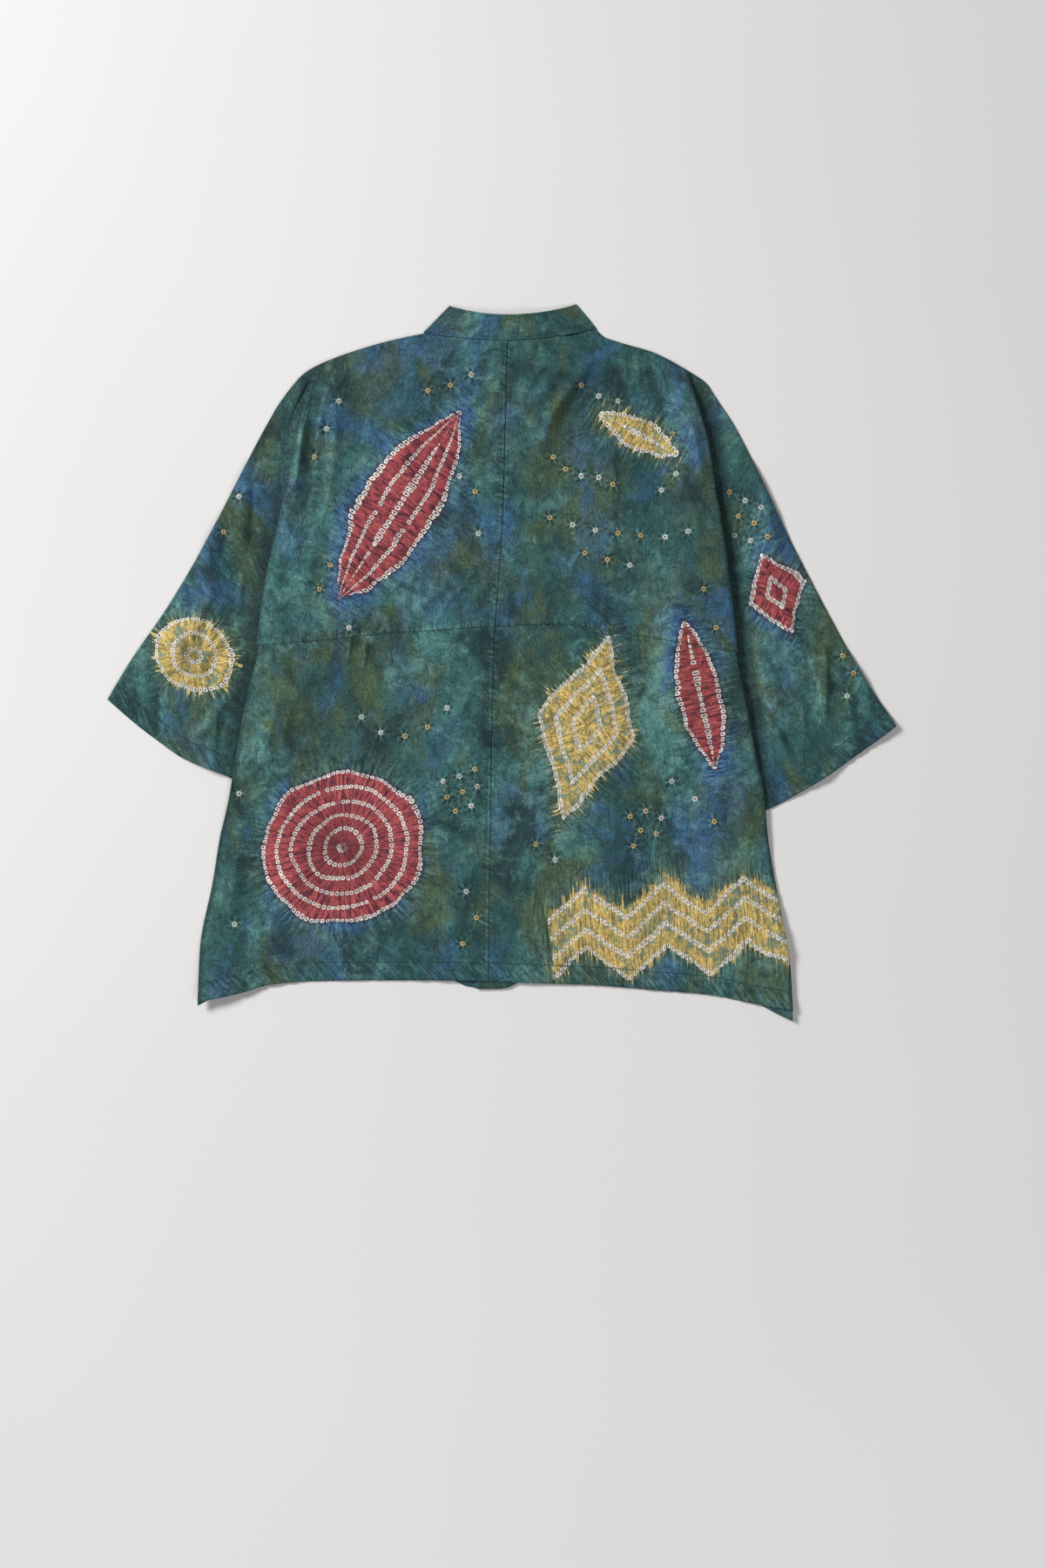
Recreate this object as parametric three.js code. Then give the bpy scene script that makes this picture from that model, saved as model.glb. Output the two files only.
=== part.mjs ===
// An oversized silk shirt with cut-on sleeves, a stand collar and a buttoned front.
// It lies flat on its front, so its back faces up and each side of the body is folded
// over the top of its sleeve. Millimetres: X runs across, Y towards the collar, Z up,
// and the surface that it lies on is Z = 0. Lengths called "out" run outwards from X = 0.

import * as THREE from 'three';

// Cloth
const CLOTH = 1.1;
const SEAM_GAP = 0.3;
const LAYER = CLOTH + SEAM_GAP;
const FRONT_Z = CLOTH / 2;
const BACK_Z = FRONT_Z + LAYER;

// Centre front, where the two fronts lap and the buttons lie under them
const LAP = 15;
const BUTTON = { width: 11.5, thick: 2.2, dish: 0.5, first: 285, spacing: 94, count: 7 };
const BUTTON_LIFT = BUTTON.thick + SEAM_GAP;
const FLAT_BY_CENTRE = 17;
const BACK_SLACK = 0.6;
const OVER_BUTTONS = {
  top: { from: 342, to: 374, drop: 0.8 },
  bottom: { from: -315, to: -370, drop: 0.6 },
};

// Neck and stand collar
const NECK_BACK_Y = 370;
const NECK_FRONT_Y = 300;
const COLLAR_BACK_TOP_Y = 399;
const COLLAR_FRONT_TOP_Y = 331;
const COLLAR_FOLD_RADIUS = 0.95;
const COLLAR_LEAN = 2;
const COLLAR_TOP_DROP = 0.4;
const COLLAR_SEAM_GAP = 0.6;

// The folded sides: how far in from the edge the body stays raised where nothing is folded
// under it, how far past the folded cloth where something is, how far past the place where
// its surface starts to bend, and where the soft folds in
// the cloth begin beside the edge and reach their full height
const EDGE_ROLL = 3;
const PAST_UNDER_FOLD = 7;
const PAST_BEND = 2;
const INSET_ENDS = 0.2;
const FOLDED_TURN = { from: 60, to: 150 };
const SOFT_ON_BODY = { from: 5, to: 35 };
const SOFT_ON_SLEEVE = { from: 6, to: 26 };

// How finely each stretch of cloth is divided
const ROWS = { upper: 13, cuff: 6, lower: 12, collar: 3 };
const CELLS = { overFold: 6, underFold: 5, sleeve: 8, collarFold: 5 };
const CENTRE_COLUMNS = [FLAT_BY_CENTRE, 57, 80];
const FALL_COLUMNS = [0.3, 0.65];

// Where the edge of the shirt stands clear of the surface, with all of its layers together:
// each lift is highest at its own point and comes down to nothing at its reach
const EDGE_LIFTS = [
  { at: [-336, -392], reach: 120, high: 11 },
  { at: [338, -325], reach: 95, high: 7 },
  { at: [336, -405], reach: 80, high: 5 },
  { at: [-335, -122], reach: 60, high: 6 },
  { at: [449, -78], reach: 75, high: 5 },
  { at: [372, -134], reach: 60, high: 5 },
];

const radians = THREE.MathUtils.degToRad;
const mix = THREE.MathUtils.lerp;
const ease = THREE.MathUtils.smoothstep;

// A table with named columns. at(value) reads every column where the first one has that
// value, along smooth curves that never rise above or fall below their neighbours.
class Table {
  constructor(names, rows) {
    this.names = names.split(' ');
    this.rows = [...rows].sort((a, b) => a[0] - b[0]);
  }

  slope(row, column) {
    const step = (from) => {
      const [a, b] = [this.rows[from], this.rows[from + 1]];
      return (b[column] - a[column]) / (b[0] - a[0]);
    };
    if (row === 0) return step(0);
    if (row === this.rows.length - 1) return step(row - 1);
    const [before, after] = [step(row - 1), step(row)];
    return before * after > 0 ? (2 * before * after) / (before + after) : 0;
  }

  at(value) {
    const last = this.rows.length - 1;
    const key = Math.min(Math.max(value, this.rows[0][0]), this.rows[last][0]);
    const row = Math.min(Math.max(this.rows.findIndex((r) => r[0] > key) - 1, 0), last - 1);
    const start = key >= this.rows[last][0] ? last - 1 : row;
    const [a, b] = [this.rows[start], this.rows[start + 1]];
    const span = b[0] - a[0];
    const t = (key - a[0]) / span;
    const read = (column) =>
      a[column] * (1 + 2 * t) * (1 - t) ** 2 +
      b[column] * t * t * (3 - 2 * t) +
      this.slope(start, column) * span * t * (1 - t) ** 2 -
      this.slope(start + 1, column) * span * t * t * (1 - t);
    return Object.fromEntries(this.names.map((name, column) => [name, read(column)]));
  }
}

// The centre back seam, and under it the centre front
const CENTRE = new Table('y x', [
  [370, 8],
  [161, 2],
  [21, -7],
  [-224, -12],
  [-364, -14],
]);

// The two sides, each with its own lay. "fold" runs down the edge where the body turns
// under itself: turn is the angle it turns through, rise how far the body lies above the
// sleeve, under how deep the turned part reaches, tuck the lower bend's share of both
// bends, and fall the width over which the raised body comes down again towards the centre.
const LEFT = {
  sign: -1,
  neck: { half: 96.5, y: 378 },
  collarTop: { half: 66, y: 409 },
  shoulder: new Table('out y', [
    [88.5, 378],
    [122, 371],
    [165, 359],
    [205, 344],
    [225, 333],
    [245, 311],
    [259, 291],
  ]),
  overarm: new Table('y out', [
    [291, 259],
    [251, 281],
    [204, 305],
    [128, 345],
    [61, 385],
    [3, 425],
    [-42, 452],
  ]),
  cuff: new Table('out y', [
    [275, -149],
    [310, -132],
    [366, -109],
    [395, -89],
    [421, -69],
    [452, -42],
  ]),
  fold: new Table('y out turn rise under tuck fall', [
    [344, 205, 8, 0.8, 3, 0.5, 30],
    [290, 228, 16, 3, 4, 0.5, 32],
    [240, 240, 24, 5.5, 5, 0.5, 34],
    [210, 246, 45, 7.5, 3, 0.45, 36],
    [190, 250, 100, 8.6, 1.5, 0.35, 38],
    [165, 255, 165, 8.9, 5, 0.24, 40],
    [140, 261, 180, 8.7, 13, 0.2184, 44],
    [77, 273.5, 180, 8.7, 33, 0.2184, 48],
    [19, 281, 180, 8.7, 45, 0.2184, 50],
  ]),
  waist: new Table('out y', [
    [5, 41],
    [135, 33],
    [195, 26],
    [281, 19],
  ]),
  hip: new Table('y out rise keep fall', [
    [19, 281, 8.7, 55, 50],
    [-58, 295.5, 6, 54, 50],
    [-116, 305.5, 4.2, 50, 50],
    [-160, 313, 3.6, 48, 50],
    [-200, 322.5, 1, 40, 50],
    [-249, 330.5, 0.2, 30, 50],
    [-329, 345.5, 0, 30, 50],
    [-389, 347.5, 0, 30, 50],
  ]),
  hem: new Table('out y', [
    [14, -365],
    [120, -364],
    [215, -365],
    [263, -369],
    [300, -379],
    [347.5, -389],
  ]),
  frontPeek: new Table('out down', [
    [14, 9],
    [40, 6],
    [61, -2],
    [325, -2],
    [347.5, 4],
  ]),
  armpitAcrossY: 93,
};

const RIGHT = {
  sign: 1,
  neck: { half: 100, y: 383 },
  collarTop: { half: 77, y: 411 },
  shoulder: new Table('out y', [
    [108, 383],
    [118, 374],
    [135, 368],
    [175, 356],
    [214, 335],
    [235, 321],
    [245, 306],
  ]),
  overarm: new Table('y out', [
    [306, 245],
    [271, 268],
    [218, 295],
    [134, 335],
    [57, 375],
    [-15, 415],
    [-73, 453],
  ]),
  cuff: new Table('out y', [
    [276, -182],
    [311, -166],
    [343, -149],
    [376, -129],
    [404, -109],
    [432, -89],
    [453, -73],
  ]),
  fold: new Table('y out turn rise under tuck fall', [
    [335, 214, 14, 1.6, 3, 0.5, 30],
    [318, 219, 50, 5, 3, 0.5, 32],
    [302, 225, 110, 8, 1.5, 0.35, 34],
    [280, 232, 168, 8.9, 6, 0.24, 36],
    [254, 239.5, 180, 8.7, 13, 0.2184, 40],
    [188, 249.5, 180, 8.7, 24, 0.2184, 44],
    [126, 259.5, 180, 8.7, 33, 0.2184, 48],
    [11, 273.5, 180, 8.7, 45, 0.2184, 50],
  ]),
  waist: new Table('out y', [
    [-5, 41],
    [65, 44],
    [125, 36],
    [273.5, 11],
  ]),
  hip: new Table('y out rise keep fall', [
    [11, 273.5, 8.7, 55, 50],
    [-85, 288.5, 5.4, 54, 50],
    [-158, 302.5, 4, 50, 50],
    [-192, 305, 3.6, 48, 50],
    [-232, 311, 1, 40, 50],
    [-289, 321.5, 0.2, 30, 50],
    [-349, 331.5, 0, 30, 50],
    [-399, 334.5, 0, 30, 50],
  ]),
  hem: new Table('out y', [
    [-14, -365],
    [27, -367],
    [110, -370],
    [170, -375],
    [240, -381],
    [290, -391],
    [334.5, -399],
  ]),
  frontPeek: new Table('out down', [
    [-14, 9],
    [5, 7],
    [27, -2],
    [285, -2],
    [320, 8],
    [334.5, 12],
  ]),
  armpitAcrossY: 92,
};

// The largest soft folds in the back, each a ridge that tapers to both of its ends
const SOFT_FOLDS = [
  { from: [-293, 238], to: [-299, 120], wide: 13, high: 3.2 },
  { from: [-325, 178], to: [-338, 96], wide: 11, high: 2.2 },
  { from: [-352, 60], to: [-396, -40], wide: 16, high: 2.6 },
  { from: [303, 45], to: [326, -112], wide: 13, high: 3.4 },
  { from: [366, 20], to: [371, -112], wide: 14, high: 4 },
  { from: [300, 190], to: [318, 90], wide: 15, high: 2.4 },
  { from: [78, 352], to: [2, 262], wide: 15, high: 2.6 },
  { from: [-118, 330], to: [-98, 120], wide: 32, high: 2.6 },
  { from: [132, 318], to: [118, 96], wide: 32, high: 2.6 },
  { from: [-168, 182], to: [-192, -70], wide: 24, high: 3 },
  { from: [176, 120], to: [196, -60], wide: 24, high: 2.4 },
  { from: [-58, 30], to: [-122, -300], wide: 36, high: 3 },
  { from: [96, 28], to: [150, -330], wide: 38, high: 3 },
  { from: [-226, -150], to: [-262, -352], wide: 26, high: 3 },
  { from: [236, -130], to: [252, -352], wide: 28, high: 2.6 },
];

function softFolds(x, y) {
  let height = 0;
  for (const { from, to, wide, high } of SOFT_FOLDS) {
    const along = new THREE.Vector2(to[0] - from[0], to[1] - from[1]);
    const reach = new THREE.Vector2(x - from[0], y - from[1]);
    const share = Math.min(Math.max(reach.dot(along) / along.lengthSq(), 0), 1);
    const away = reach.addScaledVector(along, -share).length();
    height += high * Math.sin(Math.PI * share) * Math.exp(-((away / wide) ** 2));
  }
  return height;
}

function edgeLift(x, y) {
  const rise = ({ at, reach, high }) => high * Math.max(1 - Math.hypot(x - at[0], y - at[1]) / reach, 0) ** 2;
  return EDGE_LIFTS.reduce((sum, lift) => sum + rise(lift), 0);
}

// 1 beside the centre line, falling evenly to 0 level with the neck point
const byCentre = (fromCentre, half) =>
  Math.min(Math.max((half - fromCentre) / (half - FLAT_BY_CENTRE), 0), 1);

// How far the buttons hold the cloth up, level with a point on the body
function overButtons(y) {
  const { top, bottom } = OVER_BUTTONS;
  const left = (end, share) => 1 - end.drop * share;
  const atTop = left(top, ease(y, top.from, top.to));
  const atBottom = left(bottom, ease(-y, -bottom.from, -bottom.to));
  return BUTTON_LIFT * atTop * atBottom;
}

// Lift along the centre: the outer front lies on the buttons, the inner front on the outer
// one, and the back on both
function centreLift(layer, fromCentre, half, y) {
  const share = byCentre(fromCentre, half);
  const above = { outer: 0, inner: LAYER, back: LAYER + BACK_SLACK }[layer];
  return share * (overButtons(y) + above);
}

// A falling quarter wave: 1 at 0 and below, 0 at 1 and above
const fallOff = (share) => (1 + Math.cos(Math.PI * Math.min(Math.max(share, 0), 1))) / 2;

// The columns of the body, from the centre to the side, as distances out. They gather
// where the cloth comes down from the raised side.
function bodyColumns(side, y, start, edge, inset, keep, fall) {
  const centre = side.sign * CENTRE.at(y).x;
  const flat = edge - keep - fall;
  const neck = centre + side.neck.half;
  return [
    centre + start,
    ...CENTRE_COLUMNS.map((away) => centre + away),
    neck,
    mix(neck, flat, 1 / 3),
    mix(neck, flat, 2 / 3),
    flat,
    ...FALL_COLUMNS.map((share) => flat + share * fall),
    edge - keep,
    mix(edge - inset, edge - keep, 0.5),
    edge - inset,
  ];
}

// The top edge of a body: the neck seam as far as the neck point, then the shoulder
function topEdge(side, out, fromCentre, isFront) {
  const share = Math.min(Math.max(fromCentre / side.neck.half, 0), 1);
  if (share === 1) return side.shoulder.at(out).y;
  const drop = side.neck.y - (isFront ? NECK_FRONT_Y : NECK_BACK_Y);
  return side.neck.y - drop * (isFront ? Math.sqrt(1 - share ** 2) : 1 - share ** 2);
}

// One row across the fold at the side of the upper body: an S of two bends with a straight
// stretch between them, flat where it leaves the body and flat where it meets the sleeve.
// below is 0 for the back and one layer for the front, which runs inside the back.
function foldRow(side, y, share, below) {
  const fold = side.fold.at(y);
  const turn = radians(fold.turn);
  const bends = (fold.rise - fold.under * Math.sin(turn)) / (1 - Math.cos(turn));
  const under = fold.tuck * bends;
  const over = bends - under;
  const start = -(over + CLOTH / 2) * Math.sin(Math.min(turn, Math.PI / 2));

  const step = 5;
  const lean = side.fold.at(y - step).out - side.fold.at(y + step).out;
  const square = new THREE.Vector2(2 * step, lean).normalize();
  const shoulderDrop = side.shoulder.at(fold.out + step).y - side.shoulder.at(fold.out - step).y;
  const along = new THREE.Vector2(2 * step, shoulderDrop).normalize();
  const squareFrom = 0.3;
  const way = along.lerp(square, ease(share, 0, squareFrom)).normalize();

  const seamY = side.waist.at(fold.out + start).y + SEAM_GAP / 2 - start * way.y;
  const baseY = share === 1 ? seamY : y;
  const place = (across, height, angle) => {
    const reach = start + across - below * Math.sin(angle);
    const out = fold.out + reach * way.x;
    const rowY = share === 0 ? side.shoulder.at(out).y : baseY + reach * way.y;
    return {
      point: new THREE.Vector3(side.sign * out, rowY, BACK_Z + fold.rise + height - below * Math.cos(angle)),
      up: new THREE.Vector3(side.sign * way.x * Math.sin(angle), way.y * Math.sin(angle), Math.cos(angle)),
    };
  };

  const row = [];
  for (let i = 0; i <= CELLS.overFold; i++) {
    const angle = (turn * i) / CELLS.overFold;
    row.push(place(over * Math.sin(angle), -over * (1 - Math.cos(angle)), angle));
  }
  const far = { across: bends * Math.sin(turn) + fold.under * Math.cos(turn), height: -fold.rise };
  for (let i = 0; i <= CELLS.underFold; i++) {
    const angle = turn * (1 - i / CELLS.underFold);
    row.push(place(far.across - under * Math.sin(angle), far.height + under * (1 - Math.cos(angle)), angle));
  }
  return { row, fold, start };
}

// How far the body's side is kept raised, from its edge towards the centre, where the cloth
// starts to bend an inset in from that edge
function raisedWidth(fold, inset) {
  const folded = ease(fold.turn, FOLDED_TURN.from, FOLDED_TURN.to);
  return Math.max(EDGE_ROLL + folded * (PAST_UNDER_FOLD + fold.under), inset + PAST_BEND);
}

const softOnBody = (side, out, y, edge) =>
  softFolds(side.sign * out, y) * ease(edge - out, SOFT_ON_BODY.from, SOFT_ON_BODY.to);

const UP = new THREE.Vector3(0, 0, 1);

// The upper body with its fold and its sleeve: rows of points from the centre to the
// overarm seam, then rows from the underarm seam to the overarm seam as far as the cuff.
function upperRows(side, layer) {
  const isFront = layer !== 'back';
  const below = isFront ? LAYER : 0;
  const start = isFront ? -LAP : SEAM_GAP / 2;
  const topY = side.fold.rows.at(-1)[0];
  const waistY = side.fold.rows[0][0];
  const sleeveTopY = side.overarm.rows.at(-1)[0];
  const rows = [];
  const columnsAt = (share, fold, inset) => {
    const centreY = mix(NECK_BACK_Y, side.waist.rows[0][1], share);
    return bodyColumns(side, centreY, start, fold.out, inset, raisedWidth(fold, inset), fold.fall);
  };
  const first = foldRow(side, topY, 0, below);
  const last = foldRow(side, waistY, 1, below);
  const topOuts = columnsAt(0, first.fold, -first.start);
  const waistOuts = columnsAt(1, last.fold, -last.start);
  const topCentre = side.sign * CENTRE.at(NECK_BACK_Y).x;

  for (let r = 0; r <= ROWS.upper; r++) {
    const share = r / ROWS.upper;
    const foldY = mix(topY, waistY, share);
    const { row, fold, start: inset } = foldRow(side, foldY, share, below);
    const keep = raisedWidth(fold, -inset);
    const centre = side.sign * CENTRE.at(mix(NECK_BACK_Y, side.waist.rows[0][1], share)).x;
    const body = columnsAt(share, fold, -inset).slice(0, -1).map((out, column) => {
      const top = topEdge(side, topOuts[column], topOuts[column] - topCentre, isFront);
      const y = mix(top, side.waist.at(waistOuts[column]).y, share) + (share < 1 ? 0 : SEAM_GAP / 2);
      const raised = fold.rise * fallOff((fold.out - keep - out) / fold.fall);
      const soft = isFront || r === 0 ? 0 : softOnBody(side, out, y, fold.out);
      const z = BACK_Z - below + raised + soft + centreLift(layer, out - centre, side.neck.half, y);
      return { point: new THREE.Vector3(side.sign * out, y, z), up: UP };
    });

    const inner = row.at(-1).point;
    const outerY = mix(sleeveTopY, side.armpitAcrossY, share);
    const outer = new THREE.Vector3(side.sign * side.overarm.at(outerY).out, outerY, inner.z);
    const sleeve = [];
    for (let i = 1; i <= CELLS.sleeve; i++) {
      const point = inner.clone().lerp(outer, i / CELLS.sleeve);
      if (r === 0) point.y = side.shoulder.at(side.sign * point.x).y;
      sleeve.push(sleevePoint(side, point, fold.out, isFront));
    }
    rows.push([...body, ...row, ...sleeve]);
  }
  return rows;
}

function sleevePoint(side, point, edge, isFront) {
  const clear = ease(side.sign * point.x - edge, SOFT_ON_SLEEVE.from, SOFT_ON_SLEEVE.to);
  const soft = isFront ? 0 : softFolds(point.x, point.y) * clear;
  return { point: point.setZ((isFront ? FRONT_Z : BACK_Z) + soft), up: UP };
}

// The rows of the sleeve below the armpit, from the underarm seam to the overarm seam
function sleeveRows(side, layer, armpitRow) {
  const isFront = layer !== 'back';
  const first = armpitRow.at(-1 - CELLS.sleeve).point;
  const cuffInner = side.cuff.rows[0];
  const cuffOuter = side.cuff.rows.at(-1);
  const rows = [];
  for (let r = 1; r <= ROWS.cuff; r++) {
    const share = r / ROWS.cuff;
    const armpit = new THREE.Vector2(side.sign * first.x, first.y);
    const inner = armpit.lerp(new THREE.Vector2(...cuffInner), share);
    const outerY = mix(side.armpitAcrossY, cuffOuter[1], share);
    const outer = new THREE.Vector2(side.overarm.at(outerY).out, outerY);
    const row = [];
    for (let i = 0; i <= CELLS.sleeve; i++) {
      const place = inner.clone().lerp(outer, i / CELLS.sleeve);
      const straightCuff = mix(cuffInner[1], cuffOuter[1], i / CELLS.sleeve);
      const cuffOut = mix(cuffInner[0], cuffOuter[0], i / CELLS.sleeve);
      const bow = side.cuff.at(cuffOut).y - straightCuff;
      const edge = side.hip.at(place.y).out;
      const point = new THREE.Vector3(side.sign * place.x, place.y + bow * share ** 2, 0);
      row.push(sleevePoint(side, point, edge, isFront));
    }
    rows.push(row);
  }
  return rows;
}

// The body from the waist seam to the hem
function lowerRows(side, layer) {
  const isFront = layer !== 'back';
  const below = isFront ? LAYER : 0;
  const start = isFront ? -LAP : SEAM_GAP / 2;
  const waistY = side.hip.rows.at(-1)[0];
  const hemY = side.hip.rows[0][0];
  const columnsAt = (y, inset) => {
    const hip = side.hip.at(y);
    return bodyColumns(side, y, start, hip.out, inset, hip.keep, hip.fall);
  };
  const armpit = foldRow(side, side.fold.rows[0][0], 1, below);
  const waistOuts = columnsAt(waistY, -armpit.start);
  const hemOuts = columnsAt(hemY, 0);
  const rows = [];
  for (let r = 0; r <= ROWS.lower; r++) {
    const share = r / ROWS.lower;
    const edgeY = mix(waistY, hemY, share);
    const hip = side.hip.at(edgeY);
    const centre = side.sign * CENTRE.at(edgeY).x;
    const inset = -armpit.start * (1 - ease(share, 0, INSET_ENDS));
    rows.push(
      columnsAt(edgeY, inset).map((out, column) => {
        const waist = side.waist.at(waistOuts[column]).y - SEAM_GAP / 2;
        const hem = side.hem.at(hemOuts[column]).y;
        const peek = isFront && r === ROWS.lower ? side.frontPeek.at(hemOuts[column]).down : 0;
        const y = mix(waist, hem, share) - peek;
        const raised = hip.rise * fallOff((hip.out - hip.keep - out) / hip.fall);
        const soft = isFront ? 0 : softOnBody(side, out, y, hip.out);
        const z = BACK_Z - below + raised + soft + centreLift(layer, out - centre, side.neck.half, y);
        return { point: new THREE.Vector3(side.sign * out, y, z), up: UP };
      })
    );
  }
  return rows;
}

// The stand collar, a band folded flat: its back half on top, its front half under the
// back of the body, one end lapped over the other. Columns run round it, rows up it.
function collarRows() {
  const centre = CENTRE.at(NECK_BACK_Y).x;
  const rows = [];
  for (let r = 0; r <= ROWS.collar; r++) {
    const height = r / ROWS.collar;
    rows.push([
      ...collarHalf(LEFT, 'outer', centre, height).reverse(),
      ...collarHalf(RIGHT, 'inner', centre, height).slice(1),
    ]);
  }
  return rows;
}

// Half of the collar at one height up the band, from centre back to its end at the front
function collarHalf(side, layer, centre, height) {
  const half = side.neck.half;
  const shares = [0, ...CENTRE_COLUMNS.map((away) => away / half), 1];
  const fullness = (share) => 1 - share ** 2;
  const drop = (share) => Math.sqrt(1 - Math.min(share ** 2, 1));
  const place = (share, baseY, topY, z) => {
    const x = centre + side.sign * share * mix(half, side.collarTop.half, height);
    return { point: new THREE.Vector3(x, mix(baseY, topY, height), z), up: UP };
  };

  const back = shares.map((share) => {
    const baseY = side.neck.y - (side.neck.y - NECK_BACK_Y) * fullness(share) + SEAM_GAP / 2;
    const topY = side.collarTop.y - (side.collarTop.y - COLLAR_BACK_TOP_Y) * fullness(share);
    const flat = FRONT_Z + 2 * COLLAR_FOLD_RADIUS;
    const lean = COLLAR_LEAN * height * fullness(share);
    return place(share, baseY, topY, flat + lean + centreLift('back', share * half, half, NECK_BACK_Y));
  });

  const base = new THREE.Vector2(half, side.neck.y);
  const top = new THREE.Vector2(side.collarTop.half, side.collarTop.y);
  const creaseWay = top.sub(base).normalize();
  const outward = new THREE.Vector2(creaseWay.y, -creaseWay.x);
  const crease = [];
  for (let i = 1; i < CELLS.collarFold; i++) {
    const angle = (Math.PI * i) / CELLS.collarFold;
    const across = COLLAR_FOLD_RADIUS * Math.sin(angle);
    const seamGap = mix(SEAM_GAP / 2, COLLAR_SEAM_GAP, i / CELLS.collarFold);
    const spot = place(1, side.neck.y + seamGap, side.collarTop.y, 0);
    spot.point.x += side.sign * outward.x * across;
    spot.point.y += outward.y * across;
    spot.point.z = FRONT_Z + COLLAR_FOLD_RADIUS * (1 + Math.cos(angle));
    spot.up = new THREE.Vector3(
      side.sign * outward.x * Math.sin(angle),
      outward.y * Math.sin(angle),
      Math.cos(angle)
    );
    crease.push(spot);
  }

  const frontShares = [1, ...CENTRE_COLUMNS.map((away) => away / half).reverse(), -LAP / half];
  const front = frontShares.map((share) => {
    const fromCentre = Math.max(share, 0);
    const baseY = side.neck.y - (side.neck.y - NECK_FRONT_Y) * drop(fromCentre) + COLLAR_SEAM_GAP;
    const topY = side.collarTop.y - (side.collarTop.y - COLLAR_FRONT_TOP_Y) * drop(fromCentre);
    const lap = byCentre(share * half, half);
    const onInner = layer === 'inner' ? LAYER : 0;
    const z = FRONT_Z + lap * (BUTTON_LIFT * (1 - COLLAR_TOP_DROP * height) + onInner);
    const spot = place(share, baseY, topY, z);
    spot.up = UP.clone().negate();
    return spot;
  });
  return [...back, ...crease, ...front];
}

// A closed wall of cloth from rows of middle points: half the cloth goes to each side of
// every point, along its up direction, and the wall is closed along the edges of the cells
// that isKept allows.
function wall(rows, isKept) {
  const positions = [];
  const indices = [];
  const numbers = new Map();
  const vertex = (r, c, face) => {
    const key = `${r} ${c} ${face}`;
    if (!numbers.has(key)) {
      const { point, up } = rows[r][c];
      const spot = point.clone().addScaledVector(up, (face * CLOTH) / 2);
      spot.z += edgeLift(point.x, point.y);
      numbers.set(key, positions.length / 3);
      positions.push(spot.x, spot.y, spot.z);
    }
    return numbers.get(key);
  };
  const quad = (a, b, c, d) => indices.push(a, b, c, a, c, d);
  const kept = (r, c) => r >= 0 && c >= 0 && r < rows.length - 1 && isKept(r, c);

  for (let r = 0; r < rows.length - 1; r++) {
    for (let c = 0; c < rows[r].length - 1; c++) {
      if (!kept(r, c)) continue;
      const corners = [[r, c], [r, c + 1], [r + 1, c + 1], [r + 1, c]];
      const neighbours = [[r - 1, c], [r, c + 1], [r + 1, c], [r, c - 1]];
      const over = corners.map(([row, column]) => vertex(row, column, 1));
      const below = corners.map(([row, column]) => vertex(row, column, -1));
      quad(over[0], over[3], over[2], over[1]);
      quad(below[0], below[1], below[2], below[3]);
      neighbours.forEach(([row, column], side) => {
        if (kept(row, column)) return;
        const next = (side + 1) % 4;
        quad(over[side], over[next], below[next], below[side]);
      });
    }
  }

  const geometry = new THREE.BufferGeometry();
  geometry.setAttribute('position', new THREE.Float32BufferAttribute(positions, 3));
  geometry.setIndex(volume(positions, indices) > 0 ? indices : flipped(indices));
  geometry.computeVertexNormals();
  return geometry;
}

function flipped(indices) {
  const out = [];
  for (let i = 0; i < indices.length; i += 3) out.push(indices[i], indices[i + 2], indices[i + 1]);
  return out;
}

function volume(positions, indices) {
  const corner = (index) => new THREE.Vector3().fromArray(positions, 3 * index);
  let sum = 0;
  for (let i = 0; i < indices.length; i += 3) {
    sum += corner(indices[i]).dot(corner(indices[i + 1]).cross(corner(indices[i + 2]))) / 6;
  }
  return sum;
}

// Sub-parts

function backUpper(side) {
  const upper = upperRows(side, 'back');
  const sleeve = sleeveRows(side, 'back', upper.at(-1));
  const sleeveColumn = upper[0].length - 1 - CELLS.sleeve;
  const rows = [...upper, ...sleeve.map((row) => [...Array(sleeveColumn).fill(null), ...row])];
  return wall(rows, (r, c) => c < upper[0].length - 1 && (r < ROWS.upper || c >= sleeveColumn));
}

function backLower(side) {
  const rows = lowerRows(side, 'back');
  return wall(rows, (r, c) => c < rows[0].length - 1);
}

// The front is cut in one from shoulder to hem. Its lower body and its sleeve share the row
// numbers below the armpit, but no cell joins them.
function front(side, layer) {
  const upper = upperRows(side, layer);
  const sleeve = sleeveRows(side, layer, upper.at(-1));
  const sleeveColumn = upper[0].length - 1 - CELLS.sleeve;
  const lower = lowerRows(side, layer).slice(1);
  const edgeColumn = lower[0].length - 1;
  const between = Array(sleeveColumn - edgeColumn - 1).fill(null);
  const rows = [
    ...upper,
    ...lower.map((row, r) => [...row, ...between, ...(sleeve[r] ?? Array(CELLS.sleeve + 1).fill(null))]),
  ];
  const isKept = (r, c) => {
    if (c >= upper[0].length - 1) return false;
    if (r < ROWS.upper) return true;
    return c < edgeColumn || (c >= sleeveColumn && r < ROWS.upper + sleeve.length);
  };
  return wall(rows, isKept);
}

function collar() {
  const rows = collarRows();
  return wall(rows, (r, c) => c < rows[0].length - 1);
}

// A round button with a dished face, which lies on the surface under the lapped fronts
function button() {
  const radius = BUTTON.width / 2;
  const profile = [
    [0, BUTTON.dish],
    [radius * 0.55, BUTTON.dish],
    [radius * 0.75, 0],
    [radius, BUTTON.thick * 0.35],
    [radius, BUTTON.thick],
    [0, BUTTON.thick],
  ];
  const geometry = new THREE.LatheGeometry(profile.map(([x, y]) => new THREE.Vector2(x, y)), 14);
  return geometry.rotateX(Math.PI / 2);
}

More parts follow.
